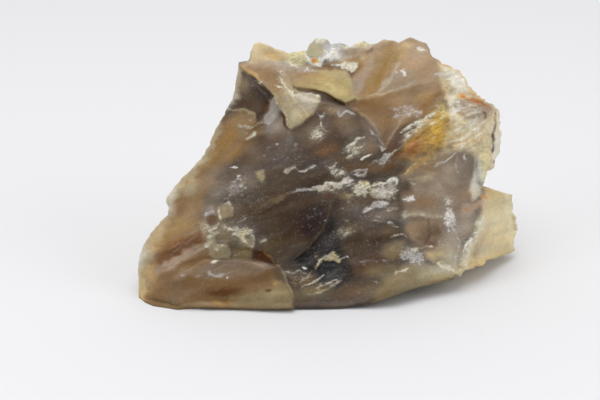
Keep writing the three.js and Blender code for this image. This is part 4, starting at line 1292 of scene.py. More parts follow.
# Shelf, back row and both flakes
TOP_MARKS = (
    # back row, left to right
    Patch(Hue.BUFF, ((-10, 27.4), (-9.2, 32), (-7, 32), (-1.8, 29.6), (-1.6, 27.2)), 0.5, 0.95),
    Blob(Hue.GOLD, (-5, 28.7), (3.6, 1.3), -14, 0.85),
    Stroke(Hue.PUTTY, ((-5.4, 27.4), (-3.4, 27.4), (-1.6, 27)), 0.6, 0.7),
    Patch(Hue.STRAW, ((-2.2, 29), (0.4, 30.2), (1.4, 29.4), (1.2, 27.4), (-1, 26.9), (-2.4, 27.4)), 0.5,
          chalk=0.3),
    Patch(Hue.PALE_OLIVE, ((1.8, 31), (3, 31.6), (4.6, 31.4), (4.8, 29.2), (3.4, 28.2), (1.8, 28.8)), 0.5,
          0.95, lift=0.2),
    Patch(Hue.CREAM, ((3, 32.6), (5.4, 32.6), (5.2, 31.4), (3.2, 31.5)), 0.5, chalk=0.4),
    Patch(Hue.LILAC, ((4.6, 31.2), (8.2, 31.4), (8.8, 29), (8, 28), (4.8, 28.2)), 0.6, 0.8, crumb=0.8),
    Patch(Hue.WHITE, ((5, 29.8), (6.4, 30.4), (7.6, 29.8), (7.8, 28.4), (6.4, 27.8), (5, 28.4)), 0.7, 0.75,
          chalk=0.9, lift=0.2),
    Patch(Hue.WHITE, ((1.2, 28.8), (2.4, 28), (4.8, 28.4), (4.4, 26.6), (1.8, 26.5)), 0.5, 0.95, chalk=0.9,
          lift=0.2),
    Blob(Hue.BRIGHT_OCHRE, (3.1, 27.8), (0.9, 0.7), 0, 1.0, soft=0.7, chalk=0.9, varied=0),
    Blob(Hue.ORANGE, (3.0, 27.7), (0.5, 0.4), 0, 0.6, chalk=0.9, varied=0),
    Stroke(Hue.CREAM, ((8, 30.8), (10, 30.5), (12, 31.2), (14, 31.4)), 1.1, 0.7, chalk=0.5),
    Patch(Hue.STRAW, ((11.4, 31.8), (13.4, 31.8), (14.2, 31), (12.8, 30.2), (11.6, 30.4)), 0.7, 0.7,
          chalk=0.4),
    Stroke(Hue.GOLD, ((14.6, 31.6), (16.8, 32.2), (19, 31.4)), 0.9, 0.8),
    Patch(Hue.LAVENDER, ((8.4, 30), (14.4, 30.4), (14, 28.6), (9, 28.6)), 0.9, 0.7),
    Patch(Hue.BISTRE, ((4.8, 27.8), (8.2, 27.6), (11.8, 28.8), (12.6, 26.6), (11, 25), (5, 26.2)), 0.8,
          0.7),
    Patch(Hue.CREAM, ((8, 26.8), (9, 27.6), (11.4, 27.5), (11.2, 26.4), (10, 25.6), (8.4, 26)), 0.4, 1.0,
          chalk=0.8, lift=0.25, varied=0),
    Patch(Hue.WHITE, ((6.4, 27), (7.8, 27.1), (7.8, 26.5), (6.8, 26.5)), 0.5, 0.8, chalk=0.7),
    lace((6.6, 29), (5, 2.4), 0, 0.5, Hue.WHITE, 0.8),
    # shelf
    Blob(Hue.BROWN, (-7.0, 25.2), (5, 2.2), -14, 0.85),
    Blob(Hue.COCOA, (-5, 24.6), (3, 1.4), -20, 0.6),
    Blob(Hue.COCOA, (4, 26.2), (7, 1.6), -6, 0.6),
    # painted highlight along the shelf's left edge
    Stroke(Hue.GOLD, ((-12.2, 27.1), (-10, 25.6), (-7.6, 23.6)), 0.7, 0.75),
    Stroke(Hue.PALE_MAUVE, ((-11.4, 27.3), (-5, 26.9), (0, 26.2), (5, 25.6)), 1.3, 0.8),
    Stroke(Hue.LILAC, ((-6, 27.2), (-2, 26.8), (1.4, 26.2)), 0.5, 0.5, chalk=0.4),
    Stroke(Hue.CREAM, ((-4, 27.7), (-2, 27.3), (-0.4, 26.7)), 0.5, 0.7, chalk=0.6),
    Stroke(Hue.WHITE, ((0.8, 25.8), (2, 25.9), (3.4, 25.7)), 0.6, chalk=0.8),
    Stroke(Hue.WHITE, ((1.4, 24.9), (3, 25)), 0.6, 0.85, chalk=0.8),
    lace((-3.6, 25.2), (2.6, 1.8), -30, 0.5, Hue.CREAM, 0.6),
    lace((-7.6, 23.6), (1.6, 1.0), 0, 0.45, Hue.CREAM, 0.6),
    # crescent flake: honey, brown at its left end and paler at its lower right
    Patch(Hue.FLAX, CRESCENT_FLAKE, 1.0, 0.95, varied=0.1),
    Blob(Hue.WARM_BROWN, (0.2, 24.2), (4, 1.8), 0, 0.8),
    Blob(Hue.HONEY, (7.2, 21.9), (3.8, 1.9), -25, 0.85),
    Stroke(Hue.PALE_OLIVE, ((1, 25.4), (5, 25.5), (8.6, 25), (10, 23.4)), 1.4, 0.8),
    Stroke(Hue.BROWN, ((-1.6, 24.6), (1.4, 25.2), (4, 25.3)), 1.0, 0.6),
    Stroke(Hue.PALE_OLIVE, ((10, 24), (10.9, 21.8), (10.9, 20.4), (9, 19.5)), 0.9, 0.6),
    Wisps(Hue.STRAW, (6.4, 22.6), (5, 2), -20, 0.5, long=3, amount=0.44, lean=-44, seed=76),
    Wisps(Hue.GOLD_BROWN, (3, 23.6), (6, 2.4), -10, 0.5, long=3, amount=0.44, lean=-34, seed=77),
    # painted shadow: dark line under the crescent flake's lower edge
    Stroke(Hue.CHESTNUT, ((-1.6, 22.4), (0.6, 21.7), (3, 21.9), (5, 21.1), (7, 19.9), (8.8, 19)), 0.45,
           0.7),
    # pointed flake
    Patch(Hue.PALE_OLIVE, POINTED_FLAKE, 0.5, 0.95, varied=0.2),
    Blob(Hue.PUTTY, (1.4, 19.8), (4, 2.4), -20, 0.8),
    Blob(Hue.BROWN, (-5, 22.6), (4, 2.4), -30, 0.85),
    Blob(Hue.PUTTY, (2.4, 20), (3, 1.8), -20, 0.5),
    Blob(Hue.CLEAR, (-0.6, 17), (2.4, 3)),
    Stroke(Hue.CREAM, ((-4.6, 24.8), (-3.2, 23.4), (-1.8, 22.8), (-1.4, 21.2), (0.4, 20.8)), 0.5, 0.75,
           chalk=0.6),
    Stroke(Hue.CREAM, ((-5.2, 23), (-3.4, 22.2), (-2.4, 20.6)), 0.45, 0.7, chalk=0.5),
    Stroke(Hue.CREAM, ((-5.2, 20.6), (-4.2, 19.2), (-3.2, 17.2), (-2.1, 14.4)), 0.4, 0.7, chalk=0.6),
    Stroke(Hue.CREAM, ((0, 21.4), (2.4, 21.2), (4.2, 20.6)), 0.5, 0.7, chalk=0.6),
    Stroke(Hue.BROWN, ((-7, 23.2), (-5, 22), (-3.8, 20.4)), 0.7, 0.5),
    lace((-1, 20), (4.6, 2.6), -30, 0.45, Hue.CREAM, 0.5),
    # painted shadow beside the pointed flake's lower point, on its left
    Patch(Hue.CHESTNUT, ((-4.2, 17.4), (-3.3, 17), (-2.1, 13.8), (-3.0, 14.6)), 0.5, 0.85, varied=0),
    Blob(Hue.BROWN, (-5.4, 24), (3.4, 1.8), -24, 0.85),
    Blob(Hue.WARM_BROWN, (-1.8, 24), (3, 1.8), 0, 0.75),
    Stroke(Hue.PALE_OLIVE, ((-3.4, 23.6), (-2.2, 20.6), (-1.6, 17.4)), 1.2, 0.4),
    Wisps(Hue.CREAM, (-1, 19.6), (5, 3.6), -50, 0.7, long=3.4, thin=0.45, amount=0.46, lean=-76, seed=72),
    Wisps(Hue.WARM_BROWN, (-2, 20.6), (5, 3.6), -50, 0.45, long=3.4, amount=0.42, lean=-70, seed=74),
    Stroke(Hue.CREAM, ((-4.6, 24.2), (-2.6, 22.4), (-1.4, 21.4)), 0.4, 0.6, chalk=0.6),
    Blob(Hue.LILAC, (1.6, 18.6), (3.0, 2.0), -20, 0.6),
    Stroke(Hue.WHITE, ((-0.4, 20.6), (2.2, 20.4), (4.2, 19.8)), 0.7, 0.5),
    # grey leaf-shaped crust beside it
    Patch(Hue.LILAC, ((-6.4, 20), (-5, 20.6), (-4.4, 19.2), (-3.8, 18), (-4.8, 16.4), (-6.2, 14.8),
          (-7.5, 15.6), (-7.2, 17), (-5.8, 18)), 0.7, 0.62, lift=0.1),
    lace((-5.8, 17.2), (2.4, 3.4), -20, 0.28, Hue.CHALK, 0.5),
    Stroke(Hue.CREAM, ((-6.4, 20), (-5, 20.3), (-4.4, 18.8), (-3.8, 17.8)), 0.35, 0.6, chalk=0.5),
    Stroke(Hue.CREAM, ((-7.3, 15.6), (-6.2, 15.0), (-4.8, 16.4)), 0.35, 0.5, chalk=0.5),
    lace((-4.6, 14.4), (4, 2), 0, 0.25, Hue.CHALK, 0.4),
)

# Tan face under the crest, the brown face below it and the grey lobe
CREST_MARKS = (
    Blob(Hue.BISTRE, (13.8, 22.6), (4, 2.4), 30, 0.75),
    Blob(Hue.GOLD_BROWN, (13.0, 28), (1.8, 2.8), -14, 0.6),
    Patch(Hue.LAVENDER, ((14, 31), (16, 31), (14.6, 26), (12.4, 22), (10.8, 20.8), (10.8, 24), (12.6, 26)),
          1.2, 0.75),
    Blob(Hue.MAUVE, (11.4, 23.2), (1.6, 2.6), -20, 0.6),
    Blob(Hue.COCOA, (14.2, 22.0), (2.4, 1.6), 20, 0.6),
    Blob(Hue.GOLD, (20.8, 29.4), (2.4, 3.4), -16, 0.6),
    Blob(Hue.MAUVE, (18.4, 23.6), (4.6, 2.4), 30),
    Stroke(Hue.BRONZE, ((18.4, 31.4), (17.4, 27.8), (15.6, 24), (12.8, 21)), 3.1, 1.0, varied=0.1),
    Stroke(Hue.DARK_OCHRE, ((17.6, 29), (16.6, 25.6), (14.8, 22.8)), 0.9, 0.5),
    Stroke(Hue.LILAC, ((19.8, 27.4), (18.2, 24.2), (15.4, 21.6)), 0.9, 0.55),
    Blob(Hue.PINK_TAN, (23.6, 28.4), (4, 3.4), 0, 0.85),
    Blob(Hue.WARM_BROWN, (27, 25.6), (3, 3), 0, 0.5),
    Blob(Hue.BUFF, (21.6, 31), (2.4, 1.2), 0, 0.5),
    Stroke(Hue.LILAC, ((13.6, 20.9), (17, 21.4), (21.4, 23), (23, 23.9)), 0.35, 0.55),
    Stroke(Hue.CREAM, ((23.4, 30.4), (25, 29.9), (26, 29.4)), 0.6, 0.7, chalk=0.5),
    Blob(Hue.WHITE, (21.0, 25.1), (0.6, 0.7), 30, chalk=0.8),
    Stroke(Hue.WHITE, ((19.2, 25.8), (19.8, 25.2)), 0.45, 0.8, chalk=0.7),
    Stroke(Hue.WHITE, ((20, 26), (21, 25.6)), 0.4, 0.7, chalk=0.6),
    Stroke(Hue.LILAC, ((27, 25.4), (28.6, 24.8), (29.6, 24.6)), 0.7, 0.7, chalk=0.5),
    Stroke(Hue.LILAC, ((26.4, 24.4), (27.4, 25.2)), 0.5, 0.6, chalk=0.5),
    lace((20.4, 25.6), (4, 2.6), 20, 0.3, Hue.WHITE, 0.6),
    lace((24, 30), (3, 2.2), 0, 0.26, Hue.WHITE, 0.5),
    Wisps(Hue.DARK_OCHRE, (18, 27), (9, 5), 60, 0.3, long=5, thin=1.0, amount=0.42, lean=46, seed=23),
    Wisps(Hue.PALE_MAUVE, (20, 26.6), (8, 5), 50, 0.25, long=5, thin=0.8, amount=0.38, lean=46, seed=22),
    # painted highlight along the ridge between the tan face and the brown face
    Stroke(Hue.PALE_OLIVE, ((10.8, 19.8), (14.6, 20.6), (20, 22), (25.6, 24.2)), 0.45, 0.4),
    # brown face
    Blob(Hue.GOLD_BROWN, (24.4, 20.6), (3, 1.6), 30, 0.5),
    Stroke(Hue.LILAC, ((17.8, 18.2), (19.6, 18.1), (22.4, 18.8)), 0.9, 0.5, chalk=0.35, broken=0.2),
    Stroke(Hue.LILAC, ((18.6, 16.2), (20.6, 17.2), (23, 17), (24.6, 18)), 1.2, 0.55, chalk=0.35,
           broken=0.2),
    lace((21.4, 17.6), (4.2, 2), 14, 0.42, Hue.LILAC, 0.4),
    Stroke(Hue.PALE_MAUVE, ((17, 10.4), (18.4, 12.8), (20, 15.6), (21.4, 17.2)), 0.3, 0.5),
    Stroke(Hue.LILAC, ((14, 14.2), (15.6, 12.6), (17, 10.2)), 0.45, 0.6, chalk=0.4),
    Patch(Hue.RED_UMBER, ((17.4, 10.6), (18.6, 12.6), (20, 14.6), (23, 15.6), (19.4, 11.4), (18, 10)), 0.8,
          0.75),
    Stroke(Hue.DARK_OCHRE, ((25, 17.4), (25.4, 19.4), (26.8, 21)), 1.2, 0.6),
    # grey lobe
    Stroke(Hue.PALE_MAUVE, ((9, 18.9), (11.2, 18.1), (13.2, 16.6), (15.4, 14.2), (16.6, 11.4)), 0.4, 0.5),
    Patch(Hue.WHITE, ((3.2, 17.2), (3.9, 16.7), (4.8, 17.2), (4.3, 16), (3.7, 16.1)), 0.45, 0.7, chalk=0.7,
          lift=0.12),
    Stroke(Hue.CREAM, ((4.1, 16), (4, 14.8), (4.8, 13.9), (6, 13.8)), 0.3, 0.65, chalk=0.6),
    Patch(Hue.PALE_OLIVE, ((1.8, 12.2), (2.4, 14), (3.6, 14.6), (4.4, 13.6), (5.2, 12.8), (4.2, 11.9),
          (2.2, 11.1)), 1.0, 0.5, chalk=0.45),
    lace((3.4, 13), (2.4, 2), 30, 0.5, Hue.CREAM, 0.6),
    Stroke(Hue.LILAC, ((7.6, 17.6), (8, 16.9), (9.4, 17.8), (10.8, 17.2)), 0.5, 0.75, chalk=0.6),
    lace((8, 17.6), (3.6, 1.8), -10),
    Blob(Hue.BLUE_GREY, (-2.2, 11.8), (1.4, 2.2), -20, 0.6),
    Blob(Hue.LILAC, (-1, 10.8), (0.6, 1.2), -30, 0.5, chalk=0.4),
    Wisps(Hue.PALE_MAUVE, (-1, 9), (7, 3), 20, 0.5, long=3.4, thin=0.35, amount=0.36, seed=28, chalk=0.3),
    # cream ladder on the lobe's lower part
    Blob(Hue.OLIVE, (11, 10.2), (3.4, 2.6), 20, 0.6),
    Patch(Hue.CREAM, ((9.6, 9), (9, 10.4), (10.4, 12.2), (12.6, 12.8), (13.2, 11.4), (11.8, 10),
          (11.4, 8.6)), 1.2, 0.3, chalk=0.6, lift=0.1),
    lace((10.8, 10.2), (3.4, 2.8), 20, 0.42, Hue.CREAM, 0.6),
    Stroke(Hue.CREAM, ((9.2, 10.4), (10.4, 11.2), (11.4, 12.4), (12.8, 12.6)), 0.4, 0.7, chalk=0.6),
    Stroke(Hue.CREAM, ((10.6, 9.2), (11.2, 10.4), (12.8, 11)), 0.4, 0.6, chalk=0.6),
    Stroke(Hue.CREAM, ((9, 8.2), (10.4, 8.8), (12, 10)), 0.55, 0.7, chalk=0.6),
    Stroke(Hue.WHITE, ((12, 8.1), (13, 8.7), (14.2, 9)), chalk=0.7),
    Stroke(Hue.WHITE, ((16, 8), (17, 8.8), (19, 9.8)), 0.45, 0.85, chalk=0.7),
    Stroke(Hue.LILAC, ((15.8, 7.2), (16.8, 7.6), (17.4, 8.6)), 0.6, 0.75, chalk=0.6),
    Stroke(Hue.PUTTY, ((13.4, 6.6), (15, 7.4), (17, 8.2), (19, 9.6), (20.4, 11)), 0.5, 0.5, chalk=0.4,
           broken=0.25),
    Stroke(Hue.CREAM, ((15.8, 10.8), (16.6, 9.7), (17.2, 10.2)), 0.4, 0.8, chalk=0.6),
    lace((17, 8.4), (3.4, 2), 35, 0.42),
)

# Broad dark face
MIDDLE_MARKS = (
    # star-shaped crust and its ring
    Patch(Hue.CREAM, ((5.8, 6.8), (6.8, 7.2), (7.4, 6.2), (8.6, 6.4), (9.4, 5.4), (8, 5), (7.2, 4.6),
          (6.4, 5.4)), 0.7, 0.8, chalk=0.9, lift=0.12),
    Blob(Hue.CREAM, (9, 4.5), (1.4, 0.8), 10, 0.8, chalk=0.6),
    Blob(Hue.DARK_OLIVE, (8.6, 5.2), (2, 1.2), 0, 0.4),
    Stroke(Hue.LILAC, ((9.9, 5.5), (11.4, 5.9), (13.2, 5.9), (13, 4.9), (11.4, 4.6), (10, 5.2)), 0.5, 0.85,
           chalk=0.7, lift=0.1),
    Stroke(Hue.WHITE, ((10.8, 5), (12, 5.4)), 0.4, 0.7, chalk=0.7),
    # bluish line that widens into a cream band
    Stroke(Hue.OLIVE, ((-6, -1), (-4, 0.4), (-2, 1.5)), 0.7, 0.6, broken=0.2),
    Stroke(Hue.OLIVE, ((-9, -2), (-6.4, -0.6), (-4, 0.8)), 0.6, 0.5, broken=0.3),
    Stroke(Hue.LILAC, ((-2.2, 1.5), (1, 2.1), (3.4, 2.5), (5.4, 2.9)), chalk=0.5, lift=0.08),
    Patch(Hue.PUTTY, ((3, 1.9), (4.6, 3), (7, 3.8), (9.2, 4), (10.4, 3.2), (9.4, 2.2), (6, 2), (4.4, 1.4)),
          0.8, 0.5, chalk=0.5, lift=0.1),
    Stroke(Hue.CREAM, ((3.6, 2.0), (5.6, 3.2), (8, 3.2), (10, 3.6)), 0.5, 0.8, chalk=0.9, lift=0.1),
    lace((9.6, 3.4), (2.4, 1.4), 0, 0.6, Hue.WHITE, 0.8),
    lace((7, 2.6), (4.6, 1.8), 12, 0.35, Hue.CREAM, 0.6),
    Patch(Hue.STRAW, ((11.2, 3), (12, 3.8), (13.6, 3.6), (14, 2.4), (13, 1), (11.4, 1), (10.4, 1.8)),
          chalk=0.7, lift=0.15),
    lace((12, 2), (3, 2.4), 0, 0.5, Hue.CREAM, 0.7),
    Blob(Hue.OLIVE, (9.2, 0.8), (2.2, 1.6), 0, 0.7),
    lace((9.0, 1.0), (2.6, 1.6), 0, 0.4, Hue.PALE_OLIVE, 0.5),
    Stroke(Hue.PALE_OLIVE, ((9.6, 1.4), (9.4, 0), (10, -0.8)), 0.7, 0.5, chalk=0.4),
    Stroke(Hue.BISTRE, ((13.6, 2.4), (14.2, 0.6), (16, -0.4), (18.6, -0.2)), 0.5, 0.6),
    # grey-white flake with a paler edge
    Patch(Hue.PUTTY, ((13.8, 1.8), (14.8, 3.2), (16.8, 3.6), (18.6, 4.4), (19.6, 3.8), (19.6, 1.6),
          (18.6, 0.2), (17, 0), (15, 0.2), (13.8, 1)), 0.6, 0.8, chalk=0.6, lift=0.12, varied=0.1),
    Blob(Hue.PUTTY, (17.0, 1.8), (2.8, 1.6), 20, 0.8),
    Stroke(Hue.WHITE, ((16.6, 2.8), (18, 3.9), (19.4, 4.3), (19.6, 3.0)), 0.5, 0.7, chalk=0.7, lift=0.08),
    lace((17, 1.8), (3, 1.8), 20, 0.42, Hue.WHITE, 0.6),
    Stroke(Hue.CREAM, ((14.2, 1.2), (15.4, 1.9), (17, 1.3), (18.6, 1.2)), 0.5, 0.6, chalk=0.7),
    Stroke(Hue.CREAM, ((14, 2.6), (15.4, 3.4), (17, 3.5)), 0.5, 0.6, chalk=0.7),
    Patch(Hue.LILAC, ((13.6, -1.8), (14.6, -0.5), (16, -0.2), (17.8, -0.4), (17.6, -1.2), (15.6, -1.4),
          (14.4, -2)), 0.5, 0.88, chalk=0.6, lift=0.1),
    Stroke(Hue.WHITE, ((15.8, -0.4), (17.4, -0.8)), 0.5, 0.7, chalk=0.8),
    Stroke(Hue.WHITE, ((12.6, -2.4), (13.4, -2), (14.2, -1.8)), 0.6, chalk=0.8, lift=0.1),
    Stroke(Hue.CREAM, ((17, -2.1), (18.4, -1.9), (19.8, -1.7)), 0.4, 0.85, chalk=0.7),
    Patch(Hue.WHITE, ((20.4, 0), (21.6, 0.4), (22.6, 1), (22.8, 0), (22, -0.6), (20.8, -0.2)), 0.5, 0.88,
          chalk=0.85, lift=0.12),
    Stroke(Hue.PUTTY, ((21.8, 3.4), (22.6, 3), (23.4, 2.4)), 0.8, 0.5, chalk=0.4),
    Patch(Hue.PUTTY, ((20.2, -2.6), (21, -2.2), (22, -3.2), (21, -4.4), (20.2, -4)), 0.6, 0.85, chalk=0.6,
          lift=0.1),
    Blob(Hue.DARK_UMBER, (21.2, 2.8), (1.4, 2.2), 0, 0.6),
    # dust of fine flecks between them
    lace((15, -2.6), (7.6, 3), 6, 0.3),
    lace((10, -1.6), (4, 2.4), 10, 0.22),
    lace((10.4, -5.6), (3.4, 2.0), 25, 0.5, Hue.PALE_OLIVE),
    lace((8.2, -6), (2.4, 2.6), 0, 0.3, Hue.PUTTY, 0.4),
    Stroke(Hue.PUTTY, ((8.2, -7.7), (9.4, -6.7), (11, -6)), 0.7, 0.7, chalk=0.5, broken=0.2),
    Stroke(Hue.PALE_OLIVE, ((8.6, -3.6), (10, -4.4)), 0.6, 0.4, chalk=0.4),
    Stroke(Hue.LILAC, ((13.8, -4), (15.6, -4.2), (16.8, -3.8)), 0.4, 0.5, chalk=0.5),
    Stroke(Hue.LILAC, ((17.6, -4.6), (18.8, -4.8)), 0.45, 0.5, chalk=0.5),
    Stroke(Hue.LILAC, ((12, -12.2), (14, -12.4), (16, -12.2)), 0.35, 0.5, chalk=0.5),
    Stroke(Hue.PUTTY, ((14, -16.2), (15.6, -16.6)), 0.4, 0.5, chalk=0.5),
    lace((14, -10), (7, 4), 5, 0.15),
    # cream arch over the dark round pit, and the dash beside it
    Blob(Hue.BLUE_BLACK, (6.6, -14.6), (4.8, 3.6), 15, 1.0, soft=0.5, lift=-0.3),
    Patch(Hue.BUFF, ((3.4, -13.4), (3.6, -12), (5, -11.1), (6.6, -10.1), (7.8, -11.1), (8.5, -12.2),
          (7.8, -12.5), (6.8, -11.8), (5.2, -11.9), (4.2, -12.5)), 0.45, 0.95, chalk=0.8, lift=0.2,
          varied=0.1),
    Stroke(Hue.CREAM, ((3.5, -12.6), (4.8, -11.4), (6.4, -10.4)), 0.5, 0.5, chalk=0.7),
    Stroke(Hue.PALE_OLIVE, ((3.2, -14.0), (3.4, -13)), 0.5, 0.6, chalk=0.5),
    Stroke(Hue.LILAC, ((8.2, -11.6), (9.2, -11.1), (10, -11.4)), chalk=0.7, lift=0.1),
    # painted reflection: bluish streaks on the glossy dark pit
    Stroke(Hue.BLUE_GREY, ((5, -15.8), (6.8, -14.4), (8.4, -13.4)), 0.7, 0.3, broken=0.3),
    Stroke(Hue.BLUE_GREY, ((7.6, -16.2), (9.4, -14.8)), 0.5, 0.3, broken=0.3),
    # painted glint: small white spot beside the pit
    Blob(Hue.WHITE, (0.9, -13.4), (0.7, 0.6), chalk=0.8),
    lace((3.4, -11), (2.2, 1.2), 20, 0.4, Hue.PALE_OLIVE, 0.4),
    lace((6, -8.4), (4, 3), 30, 0.22),
    # pale streaks at the foot of the step
    Stroke(Hue.LILAC, ((-3.8, -14.4), (-2, -14.6), (0, -14.2), (1.6, -14.9)), 0.5, 0.6, chalk=0.6,
           broken=0.2),
    Stroke(Hue.CREAM, ((0.4, -17.4), (2, -16.6), (4, -15.6), (5, -15)), 0.4, 0.7, chalk=0.6, lift=0.1),
    Stroke(Hue.PUTTY, ((0, -16.6), (1.6, -15.2), (2.4, -14)), 0.5, 0.7, chalk=0.5),
    Patch(Hue.PALE_OLIVE, ((2.6, -17.4), (4.4, -16.8), (6.4, -16.2), (7.8, -15.8), (6.4, -17.2),
          (3, -18.4)), 0.7, 0.4, chalk=0.4),
    Stroke(Hue.CREAM, ((3, -17.6), (5, -16.9), (7.4, -15.9)), 0.35, 0.5, chalk=0.5, lift=0.1),
    Stroke(Hue.PUTTY, ((1.6, -19), (4, -18.4), (6.4, -17.2), (8.4, -16)), 0.5, 0.7, chalk=0.5),
    Stroke(Hue.BISTRE, ((1, -18.2), (3.4, -17.9), (6, -17.6)), 0.5, 0.7),
    Stroke(Hue.CHESTNUT, ((-2, -15.6), (0, -16), (1.6, -15.8)), 0.8, 0.5),
    lace((0, -16), (4.6, 2.4), 15, 0.45, Hue.PUTTY, 0.5),
    lace((3, -17.8), (4.4, 1.6), 12, 0.32, Hue.PALE_OLIVE, 0.5),
    lace((11, -18.4), (5, 1.8), 8, 0.18, Hue.PUTTY, 0.4),
    # bands, hair lines and dust over the whole dark face
    lace((4, -2), (9, 6), 20, 0.1),
    lace((6, 8), (10, 5), 10, 0.16),
    Wisps(Hue.RED_UMBER, (0, 2.4), (12, 6), 20, 0.45, long=9, thin=1.1, amount=0.44, lean=-2, seed=45),
    Wisps(Hue.ASH, (-3, 5), (13, 7), 20, 0.38, long=6, amount=0.36, lean=-2, seed=41),
    Wisps(Hue.PITCH, (-2, -2), (12, 7), 20, 0.45, long=7, thin=0.9, amount=0.42, lean=-4, seed=42),
    Wisps(Hue.ASH, (14, -3), (9, 4), 5, 0.4, long=3, amount=0.38, lean=-16, seed=32),
    Wisps(Hue.DARK_UMBER, (14, -9), (9, 6), 10, 0.45, long=4.4, thin=0.8, amount=0.42, lean=-8, seed=43),
    Stroke(Hue.SLATE, ((6.6, 1), (6.2, -1.6), (5.4, -4.2), (4, -6.6), (2, -9), (0, -10.8), (-2, -12.6)),
           0.45, 0.8),
)

